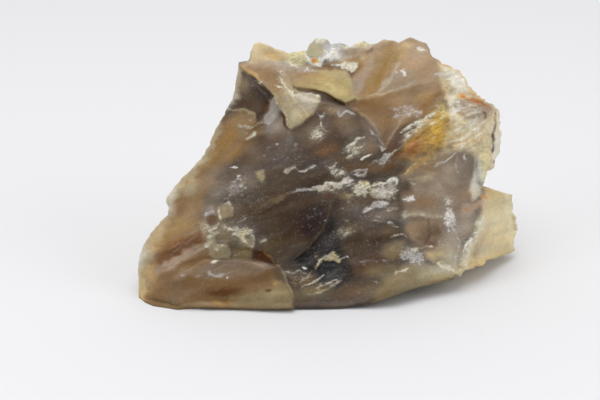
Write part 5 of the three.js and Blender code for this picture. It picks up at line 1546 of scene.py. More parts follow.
# Right-hand side: rough ochre ground, chalky rind, clear ground and tail
RIGHT_MARKS = (
    # ochre ground: golden top, orange-brown foot, white flakes along its upper edge
    Blob(Hue.BRIGHT_OCHRE, (27.2, 15.6), (3.2, 3), 45, 0.8),
    Blob(Hue.BRIGHT_OCHRE, (27.8, 12), (2.6, 2), 40, 0.6),
    Blob(Hue.HONEY, (29, 18), (1.8, 2), 0, 0.6),
    Blob(Hue.RUST_BROWN, (22.6, 10.4), (3.6, 2), 30, 0.75),
    Blob(Hue.CHESTNUT, (21, 9), (2.4, 1.6), 20, 0.6),
    Blob(Hue.ORANGE, (22.4, 11.4), (2, 0.8), 30, 0.45),
    Blob(Hue.DARK_OCHRE, (25.4, 13.4), (3, 1.2), 40, 0.6),
    Blob(Hue.DARK_OLIVE, (24.4, 9), (2.4, 0.9), 20, 0.5),
    Wisps(Hue.DARK_OCHRE, (25, 12.6), (6, 4), 40, 0.9, long=1.6, thin=0.6, amount=0.44, lean=18, seed=54,
          lift=-0.15),
    Wisps(Hue.BISTRE, (26, 12.6), (6, 4), 40, 0.8, long=1.1, amount=0.36, lean=24, seed=81, lift=-0.15),
    Wisps(Hue.STRAW, (27, 13.6), (5, 4), 40, 0.8, long=1.3, thin=0.4, amount=0.38, lean=30, seed=82,
          lift=0.1),
    Wisps(Hue.BRIGHT_OCHRE, (25.6, 13), (6, 4), 40, 0.7, long=1.5, lean=18, seed=52, lift=0.15),
    Wisps(Hue.ORANGE, (23.6, 11.2), (4, 2.4), 30, 0.7, long=1.2, amount=0.36, lean=10, seed=51),
    Stroke(Hue.CREAM, ((20.2, 13.4), (22, 15), (24, 15.8), (26.4, 17)), 0.6, 0.85, chalk=0.7, lift=0.2,
           broken=0.15),
    Stroke(Hue.CREAM, ((23.4, 14.8), (25, 16.4), (27, 17.4)), 0.6, 0.8, chalk=0.7, lift=0.15, broken=0.2),
    Patch(Hue.WHITE, ((20.2, 11.4), (21, 12.8), (22.6, 14), (23.4, 13.6), (22, 12.6), (21, 11.4)), 0.6,
          0.45, chalk=0.7, lift=0.12),
    lace((23, 14.4), (5, 2.0), 38, 0.42, Hue.CREAM, 0.7),
    lace((27.6, 19), (3, 2.4), 45, 0.5, Hue.PUTTY, 0.6),
    lace((26, 11), (5, 3), 30, 0.34, Hue.HONEY, 0.6),
    lace((27, 13.6), (4.6, 3.0), 42, 0.66, Hue.BRIGHT_OCHRE, 0.25),
    lace((28.8, 17.4), (2.4, 2.6), 0, 0.55, Hue.STRAW, 0.5),
    lace((25.6, 16.2), (3, 1.3), 38, 0.5, Hue.CREAM, 0.6),
    Wisps(Hue.CREAM, (25, 14), (6, 3.4), 40, 0.7, long=2.2, amount=0.38, lean=18, seed=73, chalk=0.6),
    Stroke(Hue.OCHRE, ((21, 5), (23.4, 7), (26, 8.6)), 0.9, 0.6),
    Stroke(Hue.STRAW, ((20.2, 4.6), (22, 6.4), (23.4, 7.6)), 0.5, 0.6, chalk=0.5),
    lace((25, 8), (6, 1.8), 20, 0.42, Hue.PALE_OLIVE),
    # chalky rind: white top, tan outer lip, rust line, grey crumbs and a fan of stripes
    Patch(Hue.CREAM, ((28, 27.2), (32.6, 25.6), (35, 22.4), (34, 21), (31, 21.8), (29.4, 24.4)), 1.0,
          crumb=0.8),
    lace((31.4, 24.2), (3.6, 3.6), -40, 0.8, Hue.WHITE, 0.9),
    lace((34.6, 14), (5, 4), 30, 0.42, Hue.CHALK, 0.7),
    Blob(Hue.PINK_TAN, (28.6, 27.4), (2, 1), -20, 0.6),
    Stroke(Hue.GOLD, ((28, 27.8), (31.2, 26.4), (33.4, 23.4), (35.4, 21)), 0.9, 0.65),
    Blob(Hue.PALE_OLIVE, (29.6, 24.4), (1.4, 2.2), -30, 0.5),
    Blob(Hue.PINK_TAN, (34.2, 21.2), (2, 1.2), -30, 0.6),
    Patch(Hue.CREAM, ((29.8, 21.6), (31.2, 21), (31.4, 16), (30, 15.4), (29.4, 18)), 0.8, 0.7, crumb=0.8),
    lace((30.4, 18.6), (1.6, 4), 0, 0.5, Hue.WHITE, 0.8),
    Patch(Hue.LAVENDER, ((31.4, 20.4), (35.8, 20), (38.4, 17.8), (37.6, 15.8), (33.4, 16), (31, 17.4)), 1.0,
          0.85, crumb=1.0),
    Wisps(Hue.UMBER, (34.8, 18), (4, 2.4), -20, 0.7, long=1.6, lean=-34, seed=57, lift=-0.12),
    lace((34, 18.4), (4, 2.6), -20, 0.5, Hue.WHITE, 0.8),
    Blob(Hue.ORANGE, (32.7, 21.0), (0.7, 0.9), 40, 1.0, soft=0.6, chalk=0.8, varied=0),
    Stroke(Hue.RUST, ((32.8, 20.2), (34.4, 20.1), (36, 19.6), (37.4, 18.8), (38.6, 18)), 0.4, chalk=0.5,
           broken=0.12),
    Stroke(Hue.RUST_BROWN, ((33, 20), (35, 19.7), (37, 18.8), (38.8, 17.6)), 1.0, 0.45),
    Stroke(Hue.ORANGE, ((33.2, 20.8), (34.6, 20.4), (36.2, 19.7)), 0.35, 0.7, chalk=0.6),
    Stroke(Hue.UMBER, ((36.4, 17.8), (37, 17), (37, 16.2)), 0.45, 0.7),
    Stroke(Hue.UMBER, ((34.4, 18.4), (35.4, 18.2)), 0.4, 0.5),
    Patch(Hue.BUFF, ((29.6, 15), (34, 16), (37, 15.4), (36, 12.6), (32, 9.6), (28, 9)), 1.2, 0.75,
          crumb=0.5),
    Wisps(Hue.PALE_OLIVE, (34, 13), (5, 4), 30, 0.7, long=3.4, thin=0.55, amount=0.42, lean=22, seed=60,
          lift=0.1),
    Wisps(Hue.OLIVE, (33.6, 13), (5, 4), 30, 0.4, long=3.4, amount=0.38, lean=22, seed=61, lift=-0.1),
    Wisps(Hue.CREAM, (34.6, 13.4), (5, 4), 30, 0.7, long=2.6, lean=24, seed=62, chalk=0.6),
    Stroke(Hue.CREAM, ((30, 11.4), (33, 12.6), (36, 14.6), (38, 16.6)), 0.4, 0.8, chalk=0.5, lift=0.1),
    Stroke(Hue.CREAM, ((30.8, 10.8), (34, 11.8), (37.2, 14)), 0.4, 0.8, chalk=0.5, lift=0.1),
    Stroke(Hue.CREAM, ((29.8, 12.8), (32.4, 14.8), (35.4, 16.2)), 0.4, 0.8, chalk=0.5, lift=0.1),
    Stroke(Hue.CREAM, ((30.6, 15), (33, 16.8), (36, 17.6)), 0.5, 0.8, chalk=0.6, lift=0.1),
    Stroke(Hue.WHITE, ((31, 17.4), (31.8, 18.8), (31.4, 20.4)), 0.8, 0.8, chalk=0.7, lift=0.15),
    Stroke(Hue.OCHRE, ((30.2, 12.2), (33, 13.8), (36, 15.6)), 0.4, 0.5),
    Stroke(Hue.TAN, ((30.6, 11.2), (34, 12.4), (36.6, 14.2)), 0.4, 0.4),
    Blob(Hue.PUTTY, (34.6, 14.6), (3.4, 2.4), 30, 0.55),
    lace((34.4, 14.4), (4, 2.6), 30, 0.4, Hue.WHITE, 0.6),
    Blob(Hue.STRAW, (37, 9), (1.4, 3.6), 0, 0.6),
    Blob(Hue.CLEAR_PALE, (37.4, 14.4), (1.6, 2), 0, 0.5),
    Stroke(Hue.CREAM, ((39, 18.6), (39.9, 13.4), (39.7, 9), (38.8, 6)), 2.6, 0.95, varied=0.1),
    Blob(Hue.PINK_TAN, (38, 19.4), (1.6, 1.2), -40, 0.6),
    lace((38.8, 12), (1.6, 6), 0, 0.4, Hue.WHITE, 0.7),
    Stroke(Hue.CHESTNUT, ((39, 18.4), (39, 15.4), (38.6, 12.6), (38.4, 9.4)), 0.35, 0.85, broken=0.1),
    Stroke(Hue.PITCH, ((38.9, 13.8), (38.5, 12.8), (38.6, 11.6)), 0.5, 0.95, varied=0, lift=-0.15),
    Stroke(Hue.PITCH, ((38.7, 10.6), (38.3, 10.0), (38.5, 9.6)), 0.4, varied=0, lift=-0.15),
    Stroke(Hue.UMBER, ((38.9, 8.0), (38.6, 7.6), (38.8, 7.2)), 0.4, 0.8, varied=0, lift=-0.1),
    Stroke(Hue.STRAW, ((37, 8.4), (36.8, 5.6), (36.2, 3.4)), 1.4, 0.6),
    # clear ground
    Wisps(Hue.PALE_MAUVE, (28, 4), (8, 5), 0, 0.45, long=5, thin=1.0, amount=0.42, lean=-30, seed=63),
    Wisps(Hue.BROWN, (28, 3), (8, 5), 0, 0.4, long=5, thin=1.0, lean=-40, seed=64),
    Stroke(Hue.WHITE, ((28.4, 7.6), (29.6, 8.2), (31, 9.4)), 0.5, 0.8, chalk=0.6, broken=0.15),
    Stroke(Hue.LILAC, ((26.6, 6.8), (28, 7.6), (29.4, 7.4)), 0.5, 0.6, chalk=0.5),
    Stroke(Hue.LILAC, ((35.2, 9.4), (34.9, 6.8), (35.0, 4), (34.4, 1)), 0.5, 0.7),
    Stroke(Hue.WHITE, ((33, 10), (32.8, 8.8), (33.2, 7.6)), 0.4, 0.7, chalk=0.6),
    Stroke(Hue.LILAC, ((31.4, 9.4), (31.2, 7), (31.8, 5)), 0.4, 0.5, chalk=0.4, broken=0.3),
    Stroke(Hue.WHITE, ((31.8, 10.4), (33.4, 11.4)), 0.6, 0.7, chalk=0.7),
    Patch(Hue.CLEAR_PALE, ((35.6, 9), (36.6, 7), (36.6, 3.6), (36, 0.8), (34.2, -0.2), (33.8, 2), (34.4, 4),
          (35.2, 6)), 0.8, 0.85),
    Blob(Hue.WHITE, (35.2, 2.4), (0.9, 2.8), 6, 0.5),
    lace((35.6, 2), (1.4, 4.4), 8, 0.22, Hue.WHITE, 0.6),
    Stroke(Hue.PALE_OLIVE, ((21.6, 4.2), (24, 4.6), (27, 4), (29, 1.4)), 0.7, 0.55),
    Blob(Hue.BUFF, (25.6, 4.6), (2.4, 1.2), 20, 0.4),
    Patch(Hue.PUTTY, ((22.4, 3.2), (23.8, 2.8), (23.6, 1.8), (22.6, 2)), 0.7, 0.5, chalk=0.4),
    lace((29.4, 0.2), (1.6, 2), 0, 0.35, Hue.WHITE, 0.6),
    lace((26, 2.2), (5, 4), 0, 0.18),
    Stroke(Hue.PUTTY, ((29, 0.8), (29.6, -0.4), (30.4, -1.8)), 0.8, 0.5, chalk=0.5),
    # orange and pink stain at the notch
    Stroke(Hue.LAVENDER, ((32.4, -2.8), (34.4, -1.4), (36.6, -0.4)), 2.4, 0.8),
    Stroke(Hue.PINK_TAN, ((33, -2.2), (34.8, -1.2), (36.6, 0)), 1.2, 0.5),
    Stroke(Hue.ORANGE, ((36, 0.9), (36.8, 0.7), (37.6, 0.2)), 0.6, 0.6),
    Stroke(Hue.RUST, ((33, -2.0), (33.8, -1.9)), 0.5, 0.35),
    Blob(Hue.OCHRE, (37.6, 1.8), (1.8, 0.8), -20, 0.55),
    # small banded steps below the middle
    Blob(Hue.ASH, (18.6, -2), (2.6, 3), 0, 0.7),
    Blob(Hue.BROWN, (20, 8), (2.6, 2), 30, 0.5),
    Stroke(Hue.PALE_OLIVE, ((21.4, -3), (24, -2.8), (27, -3.3), (29, -3.2)), 1.1, 0.75),
    Stroke(Hue.PUTTY, ((21, -3.1), (24, -2.9), (27, -3.4), (28.8, -3.2)), 0.5, 0.6, chalk=0.5),
    Blob(Hue.COCOA, (23.6, -6.6), (3.6, 3.2), 0, 0.8),
    Blob(Hue.WARM_BROWN, (22.8, -6.2), (2.4, 2.2), 0, 0.85, soft=0.7),
    Stroke(Hue.CHESTNUT, ((25.6, -4), (26, -6.6), (24.6, -9)), 0.7, 0.5),
    Blob(Hue.COCOA, (27.2, -6), (2, 3), 0, 0.85),
    Blob(Hue.CHESTNUT, (26, -8.8), (2.8, 0.8), 0, 0.5),
    Patch(Hue.WHITE, ((28.6, -3.4), (29.4, -1.8), (30.4, -2.2), (31.2, -3.4), (31, -5), (30.2, -4.4),
          (29.8, -6.4), (29.2, -4.4)), 0.7, 0.8, chalk=0.8, lift=0.12),
    Stroke(Hue.WHITE, ((28.8, -1.4), (29.6, -0.4), (30.4, 0)), 0.6, 0.6, chalk=0.7, broken=0.2),
    Stroke(Hue.LILAC, ((27.4, -10.6), (27.6, -8.8), (28.2, -7.4)), 0.5, 0.5, chalk=0.5, broken=0.3),
    Stroke(Hue.LILAC, ((30.6, -14), (31, -11.4), (32, -9), (33.6, -6.8)), 0.6, 0.6, chalk=0.5, broken=0.25),
    lace((29.4, -4), (2.4, 4), 0, 0.3, Hue.WHITE, 0.6),
    Blob(Hue.PALE_MAUVE, (33.4, -5.4), (2, 4), 0, 0.85),
    lace((31.4, -6), (3, 4.4), -15, 0.34, Hue.LILAC, 0.5),
    Wisps(Hue.LILAC, (30.6, -7.4), (3.4, 6), -10, 0.7, long=3.4, amount=0.44, lean=-84, seed=65, chalk=0.5),
    Wisps(Hue.PALE_MAUVE, (30, -10), (3.4, 6), -10, 0.6, thin=0.7, amount=0.46, lean=-100, seed=75),
    # blade and tail
    Patch(Hue.CREAM, ((31.8, -14.2), (32, -11), (33.2, -8.4), (34.6, -6.6), (36, -6.2), (35.6, -8.2),
          (34.2, -10.4), (33.2, -13.4)), 0.7, chalk=0.35, lift=0.1),
    Blob(Hue.PUTTY, (32.4, -10.6), (1.2, 3.4), -25, 0.5),
    Stroke(Hue.WHITE, ((32.6, -10.4), (34, -7.8), (35.8, -6.3)), 0.6, 0.6, chalk=0.6),
    Patch(Hue.CREAM, ((34.8, -6.4), (36.2, -6.2), (37.0, -4), (37, -2.2), (36.2, -3.4)), 0.8, 0.95,
          chalk=0.8, lift=0.1),
    lace((35.8, -4.8), (1.4, 2.4), -20, 0.6, Hue.WHITE, 0.7),
    Blob(Hue.PINK_TAN, (36.6, -1.6), (2, 2.4), -30, 0.55),
    Stroke(Hue.PINK_TAN, ((35.4, -13), (35, -11), (36.2, -8), (37.8, -5), (38.2, -3.4)), 1.4, 0.55),
    Blob(Hue.PALE_TAIL, (39.4, -4.4), (4.4, 5.4), 0, 0.75),
    Blob(Hue.PUTTY, (36.4, -10), (2.4, 3), 30, 0.4),
    # painted glow along the tail's thin outer edge
    Stroke(Hue.PALE_TAIL, ((41.8, 1), (41.8, -2), (42.8, -6), (42.2, -9.6)), 2.2),
    Blob(Hue.HONEY, (39, 0.4), (2.4, 1.8), 0, 0.4),
    Stroke(Hue.HONEY, ((34.4, -13.6), (37, -12.2), (39.6, -11.2), (42, -10)), 1.4, 0.6),
    Blob(Hue.PALE_TAIL, (35.6, -6), (2.4, 4), -20, 0.6),
    # white lacy crust near the foot, and what is round it
    Patch(Hue.WHITE, ((20.2, -11), (20.6, -10), (22, -10.2), (23.6, -10), (24.8, -10.6), (25, -11.6),
          (26.8, -12.4), (24.4, -12.6), (23, -13.2), (21.6, -12.4)), 0.8, 0.55, chalk=0.6, lift=0.15),
    Blob(Hue.LILAC, (22.6, -11), (1.8, 1), -20, 0.5, chalk=0.5),
    lace((22.6, -11.4), (4.0, 2.4), -15, 0.55, Hue.LILAC, 0.6),
    Stroke(Hue.CREAM, ((20.6, -9.4), (23, -9.8), (25.4, -9.2), (28.6, -9.5)), 0.5, 0.55, chalk=0.7,
           broken=0.3),
    Patch(Hue.BUFF, ((24.8, -10.4), (28.4, -10), (28.8, -11.4), (26.4, -12.2), (25, -11.6)), 1.2, 0.85),
    Blob(Hue.PALE_OLIVE, (28.4, -12.4), (2.6, 1.6), -20, 0.6),
    Stroke(Hue.CREAM, ((18, -7.4), (19.4, -6.7), (20.6, -7.1), (21.2, -7.9)), 0.5, 0.6, chalk=0.6,
           broken=0.2),
    Stroke(Hue.PUTTY, ((18.6, -5.2), (19.8, -5.4)), 0.5, 0.7, chalk=0.6),
    Blob(Hue.OLIVE, (20, -8.8), (2.6, 1.6), -10, 0.75),
    lace((19.6, -9.6), (2.6, 2.4), 0, 0.4, Hue.PALE_OLIVE, 0.5),
    Stroke(Hue.CREAM, ((18.8, -15), (19.4, -14.3), (21, -14.2), (21.6, -13.8)), 0.45, 0.75, chalk=0.6),
    Stroke(Hue.LILAC, ((16, -12), (17.8, -12.4)), 0.35, 0.5, chalk=0.5),
    Stroke(Hue.STRAW, ((27, -12.4), (29, -13.2), (31.4, -14.6)), 0.9, 0.7, chalk=0.4, broken=0.15),
    lace((29.4, -13.4), (3.6, 1.8), -25, 0.45, Hue.CREAM, 0.5),
    Wisps(Hue.OLIVE, (20, -15), (9, 4), 10, 0.4, thin=0.8, amount=0.42, lean=-10, seed=70),
)

MARKS = LEFT_MARKS + PLATE_MARKS + TOP_MARKS + CREST_MARKS + MIDDLE_MARKS + RIGHT_MARKS

# Hidden side: the same ground passing through, under a crust and streaks of its own
BACK_MARKS = (
    Blob(Hue.WARM_BROWN, (-4, 23), (18, 10), 0, 1.0, soft=0.5),
    Blob(Hue.MAUVE, (4, 27), (9, 5), 0, 0.8),
    Blob(Hue.TAN, (18, 24), (12, 9), 0, 0.9, soft=0.6),
    Blob(Hue.OLIVE, (-15, 18), (6, 7), 0, 0.8),
    Blob(Hue.TAN, (-22, -8), (16, 18), 40, 0.6),
    Blob(Hue.MAUVE, (2, 10), (18, 14), 20, 0.8),
    Blob(Hue.OLIVE, (16, -6), (16, 11), 20, 0.7),
    Blob(Hue.SMOKE, (-6, -6), (12, 9), 30, 0.6),
    Blob(Hue.BUFF, (30, 14), (13, 11), 0, 0.8, crumb=1.0),
    Blob(Hue.OCHRE, (17, 20), (7, 6), 0, 0.6, crumb=0.8),
    Wisps(Hue.RED_UMBER, (0, 4), (44, 30), 0, 0.45, long=8, thin=1.6, amount=0.42, lean=-30, seed=131),
    Wisps(Hue.PALE_MAUVE, (0, 4), (44, 30), 0, 0.5, long=6, thin=0.9, lean=-30, seed=132),
    Wisps(Hue.UMBER, (0, 4), (44, 30), 0, 0.5, long=5, thin=2.2, amount=0.38, lean=-30, seed=133),
    Wisps(Hue.CREAM, (2, 4), (40, 26), 0, 0.6, long=2.4, thin=0.8, amount=0.34, lean=-20, seed=134,
          chalk=0.6, lift=0.1),
    lace((-16, 2), (14, 12), 30, 0.35, Hue.CREAM, 0.5),
    lace((10, 2), (16, 12), 20, 0.3, Hue.PUTTY, 0.5),
    lace((28, 12), (12, 12), 0, 0.5, Hue.CHALK, 0.8),
)


@dataclass
class Skin:
    """Surface at each place: ground, crust, how thick and matt the crust is, crumb and height."""

    colour: np.ndarray
    crust_colour: np.ndarray
    crust: np.ndarray
    chalk: np.ndarray
    crumb: np.ndarray
    raised: np.ndarray

    @classmethod
    def bare(cls, count: int) -> "Skin":
        """A skin with nothing on it."""
        return cls(np.zeros((count, 3)), np.full((count, 3), 0.7), *(np.zeros(count) for _ in range(4)))

    def lay(self, mark: Mark, spots: Spots, held_back: np.ndarray | float = 1.0) -> None:
        """Lays one mark on the places that it can reach.

        Args:
            mark: what is laid on.
            spots: the places of the whole skin.
            held_back: factor on its cover at each place.
        """
        low, high = mark.box
        near = (spots.across > low[0]) & (spots.across < high[0])
        near &= (spots.up > low[1]) & (spots.up < high[1])
        which = np.flatnonzero(near)
        if not len(which):
            return
        share = mark.share(spots.chosen(which)) * np.broadcast_to(held_back, near.shape)[which]
        strength = mark.strength * share
        hue = np.array(mark.hue.value) / 255
        if mark.chalk:
            full = np.minimum(1, CRUST_FILL * strength)
            self.crust_colour[which] += full[:, None] * (hue - self.crust_colour[which])
            self.chalk[which] += full * (mark.chalk - self.chalk[which])
            self.crust[which] += strength * (1 - self.crust[which])
        else:
            self.colour[which] += strength[:, None] * (hue - self.colour[which])
            self.crust[which] *= 1 - TINT_COVER * strength
            self.crumb[which] = np.maximum(self.crumb[which] * (1 - strength), mark.crumb * share)
        self.raised[which] += mark.lift * share

    @property
    def finish(self) -> np.ndarray:
        """Rows of crust, chalk and crumb, as the stone's material reads them."""
        return np.stack((self.crust, self.chalk, self.crumb), 1)


@dataclass(frozen=True)
class Painter:
    """Lays colours and marks on both sides of the stone.

    Its sizes are the shares by which clouds and streaks change the ground colour, and by which
    it turns warmer or colder.
    """

    cloud: float = 0.04
    streak: float = 0.06
    warmth: float = 0.05

    def front(self, across: np.ndarray, up: np.ndarray) -> Skin:
        """Paints the seen side: ground colours and then marks, with clouds and streaks over the ground.

        Args:
            across: places, to the right.
            up: places, upwards.

        Returns:
            The painted skin.
        """
        skin = Skin.bare(len(across))
        spots = Spots.ragged(across, up)
        for mark in GROUND + MARKS:
            skin.lay(mark, spots)
        self.cloud_over(skin, across, up)
        return skin

    def back(self, across: np.ndarray, up: np.ndarray, from_rim: np.ndarray) -> Skin:
        """Paints the hidden side: the same ground passing through, with a crust and streaks of its own.

        Args:
            across: places, to the right.
            up: places, upwards.
            from_rim: distance of each place from the outline.

        Returns:
            The painted skin.
        """
        skin = Skin.bare(len(across))
        spots = Spots.ragged(across, up)
        near_rim = 1 - ease(from_rim / 2.5)
        for marks, held_back in ((GROUND, 1.0), (MARKS, near_rim), (BACK_MARKS, 1 - near_rim)):
            for mark in marks:
                skin.lay(mark, spots, held_back)
        self.cloud_over(skin, across, up)
        return skin

    def cloud_over(self, skin: Skin, across: np.ndarray, up: np.ndarray) -> None:
        """Lightens and darkens the ground colour in clouds and in streaks along the grain.

        Args:
            skin: what is changed.
            across: places, to the right.
            up: places, upwards.
        """
        along, over = on_grain(across, up)
        cloudy = layered(across / 4, up / 2.8, 33, 4)
        streaky = layered(along / 6, over / 1.1, 37, 4)
        warmer = layered(along / 7, over / 2.2, 43, 3)[:, None]
        skin.colour *= (1 + self.cloud * cloudy + self.streak * streaky)[:, None]
        skin.colour *= 1 + self.warmth * warmer * np.array((1.0, 0.1, -1.2))


@dataclass(frozen=True)
class Sheet:
    """Square sheet whose nodes are drawn out to the stone's outline."""

    squares: int
    rim: Rim

    @property
    def nodes(self) -> tuple[np.ndarray, np.ndarray, np.ndarray, np.ndarray]:
        """Places of the nodes: middle + share x (point of the outline - middle).

        Returns:
            Across, up, whether the node is on the outline, and the outline's index.
        """
        step = np.arange(self.squares + 1) / self.squares * 2 - 1
        x, y = (grid.ravel() for grid in np.meshgrid(step, -step))
        share = np.maximum(np.abs(x), np.abs(y))
        safe = np.where(share > 0, share, 1)
        x, y = x / safe, y / safe
        sides = [y > NEARLY_ONE, x > NEARLY_ONE, y < -NEARLY_ONE]
        turn = np.select(sides, [x + 1, 3 - y, 5 - x], (7 + y) % 8)
        count = len(self.rim.points)
        index = np.mod(turn / 8 * count, count)
        across = self.rim.value(self.rim.points[:, 0], index)
        up = self.rim.value(self.rim.points[:, 1], index)
        middle = SHEET_MIDDLE
        across = middle[0] + share * (across - middle[0])
        up = middle[1] + share * (up - middle[1])
        return across, up, share > NEARLY_ONE, index

    @property
    def triangles(self) -> np.ndarray:
        """Two triangles for each square, seen anticlockwise; the cut between them points at the middle.

        Returns:
            One row of three node numbers for each triangle.
        """
        row, column = (grid.ravel() for grid in np.mgrid[: self.squares, : self.squares])
        a = column + (self.squares + 1) * row
        b = a + self.squares + 1
        c, d = b + 1, a + 1
        middle = (self.squares - 1) / 2
        falling = ((row - middle) * (column - middle) > 0)[:, None]
        first = np.where(falling, np.stack((a, b, c), 1), np.stack((a, b, d), 1))
        second = np.where(falling, np.stack((a, c, d), 1), np.stack((b, c, d), 1))
        return np.concatenate((first, second))


@dataclass(frozen=True)
class ChalcedonyFinish:
    """Waxy, slightly clear quartz under a crust of ragged flecks. Sizes are in millimetres."""

    roughness: float = 0.30
    chalk_roughness: float = 0.42
    uneven_roughness: float = 0.18
    ior: float = 1.54
    specular: float = 0.26
    glow: float = 0.15
    glow_radius: tuple[float, float, float] = (1.0, 0.62, 0.34)
    glow_scale: float = 1.3
    mottle_size: float = 1.3
    mottle_amount: float = 0.08
    hair_size: float = 0.32
    hair_length: float = 3.5
    hair_amount: float = 0.17
    crumb_size: float = 0.8
    crumb_amount: float = 0.34
    crumb_roughness: float = 0.7
    fleck_size: float = 0.75
    fleck_length: float = 1.8
    fleck_contrast: float = 3.2
    fleck_edge: float = 0.50
    fleck_cover: float = 0.42
    fleck_shade: float = 0.95
    veil: float = 0.26
    vein_size: float = 1.15
    vein_length: float = 1.6
    vein_width: float = 0.030
    vein_least: float = 0.0005
    vein_cover: float = 1.6
    vein_light: float = 0.40
    fleck_unevenness: float = 2.8
    dust_size: float = 0.42
    dust_length: float = 1.3
    dust_from: float = 0.57
    dust_to: float = 0.70
    dust_cover: float = 0.70
    dust_everywhere: float = 0.28
    most_cover: float = 0.97
    bump_height: float = 0.06
    bump_strength: float = 0.35
    hair_height: float = 0.5
    fleck_height: float = 0.6
    crumb_height: float = 4.0

    def material(self) -> bpy.types.Material:
        """Makes the stone's material: painted ground, mottled and crumbly, under painted flecks.

        Returns:
            The material. It reads the attributes "tint", "crust tint" and "crust", and Object coordinates.
        """
        material = bpy.data.materials.new("chalcedony")
        material.use_nodes = True
        tree = Nodes(material.node_tree)
        shader = material.node_tree.nodes["Principled BSDF"]
        place = tree.add("ShaderNodeTexCoord").outputs["Object"]
        amounts = tree.add("ShaderNodeSeparateColor")
        tree.feed(tree.painted("crust"), amounts.inputs["Color"])
        crust, chalk, crumb = amounts.outputs[:3]

        crumbly = tree.number("MULTIPLY", crumb, self.crumb_amount)
        colour = tree.painted("tint")
        colour, mottle = self.uneven(tree, place, colour, self.mottle_size, 1.0, self.mottle_amount)
        colour, hair = self.uneven(tree, place, colour, self.hair_size, self.hair_length, self.hair_amount)
        colour, cavities = self.uneven(tree, place, colour, self.crumb_size, 1.0, crumbly)
        flecks, size, length = tree.painted("crust tint"), self.fleck_size, self.fleck_length
        flecks, field = self.uneven(tree, place, flecks, size, length, self.hair_amount)
        mask = self.fleck_mask(tree, field, crust)
        cover_share = tree.number("MULTIPLY_ADD", chalk, 1 - self.fleck_cover, self.fleck_cover)
        dust, grains = self.dust(tree, place, crust)
        share = tree.number("MULTIPLY_ADD", crust, self.veil, dust)
        least_grain = 0.9 - 0.5 * self.fleck_unevenness
        grainy = tree.number("MULTIPLY_ADD", grains, self.fleck_unevenness, least_grain)
        solid = tree.number("MULTIPLY", tree.number("MULTIPLY", mask, cover_share), grainy)
        veins = self.veins(tree, place, crust)
        share = tree.number("MAXIMUM", tree.number("MAXIMUM", share, solid), veins)
        share = tree.number("MINIMUM", share, self.most_cover)
        tree.feed(self.covered(tree, colour, flecks, share, veins), shader.inputs["Base Color"])

        chalky = tree.number("MULTIPLY", mask, chalk)
        matt = tree.number("MAXIMUM", chalky, tree.number("MULTIPLY", crumb, self.crumb_roughness))
        roughness = tree.number("MULTIPLY_ADD", matt, self.chalk_roughness, self.roughness)
        roughness = tree.number("MULTIPLY_ADD", mottle, self.uneven_roughness, roughness)
        tree.feed(roughness, shader.inputs["Roughness"])

        height = tree.number("MULTIPLY_ADD", hair, self.hair_height, mottle)
        height = tree.number("MULTIPLY_ADD", mask, self.fleck_height, height)
        pitted = tree.number("MULTIPLY", cavities, crumb)
        height = tree.number("MULTIPLY_ADD", pitted, self.crumb_height, height)
        bump = tree.add("ShaderNodeBump")
        tree.set(bump, Strength=self.bump_strength, Distance=self.bump_height * MILLIMETRE)
        tree.feed(height, bump.inputs["Height"])
        tree.feed(bump.outputs["Normal"], shader.inputs["Normal"])
        self.set_quartz(tree, shader)
        return material

    def covered(
        self, tree: "Nodes", colour: Socket, flecks: Socket, share: Socket, veins: Socket,
    ) -> Socket:
        """Ground colour with the crust's laid on it by a share; the crust is lighter in its veins.

        Args:
            tree: the material's nodes.
            colour: the ground colour.
            flecks: the crust's colour.
            share: how much of the ground it hides, 0..1.
            veins: mask of its veins, 0..1.

        Returns:
            The colour that is seen.
        """
        light = tree.number("MULTIPLY_ADD", veins, self.vein_light, self.fleck_shade)
        lighter = tree.add("ShaderNodeVectorMath", operation="SCALE")
        tree.feed(flecks, lighter.inputs[0])
        tree.feed(light, lighter.inputs["Scale"])
        mix = tree.add("ShaderNodeMix", data_type="RGBA")
        tree.feed(share, mix.inputs["Factor"])
        tree.feed(colour, mix.inputs[6])
        tree.feed(lighter.outputs["Vector"], mix.inputs[7])
        return mix.outputs[2]

    def set_quartz(self, tree: "Nodes", shader: bpy.types.Node) -> None:
        """Sets what is the same all over: the quartz's gloss and the glow under its surface.

        Args:
            tree: the material's nodes.
            shader: the material's shader.
        """
        tree.set(shader, **{"IOR": self.ior, "Specular IOR Level": self.specular})
        tree.set(shader, **{"Subsurface Weight": self.glow, "Subsurface Radius": self.glow_radius})
        tree.set(shader, **{"Subsurface Scale": self.glow_scale * MILLIMETRE})

    @staticmethod
    def uneven(
        tree: "Nodes", place: Socket, colour: Socket, size: float, length: float, amount: "Socket | float",
    ) -> tuple[Socket, Socket]:
        """Places the uneven tint group.

        Args:
            tree: the material's nodes.
            place: Object coordinates.
            colour: what is lightened and darkened.
            size: size of the field's hills.
            length: their length along the grain, as a multiple of that.
            amount: share by which the colour changes.

        Returns:
            The changed colour, and the field 0..1.
        """
        group = tree.add("ShaderNodeGroup", node_tree=uneven_tint_group())
        tree.set(group, Size=size * MILLIMETRE, Length=length)
        tree.feed(place, group.inputs["Place"])
        tree.feed(colour, group.inputs["Colour"])
        tree.feed(amount, group.inputs["Amount"])
        return group.outputs["Colour"], group.outputs["Field"]

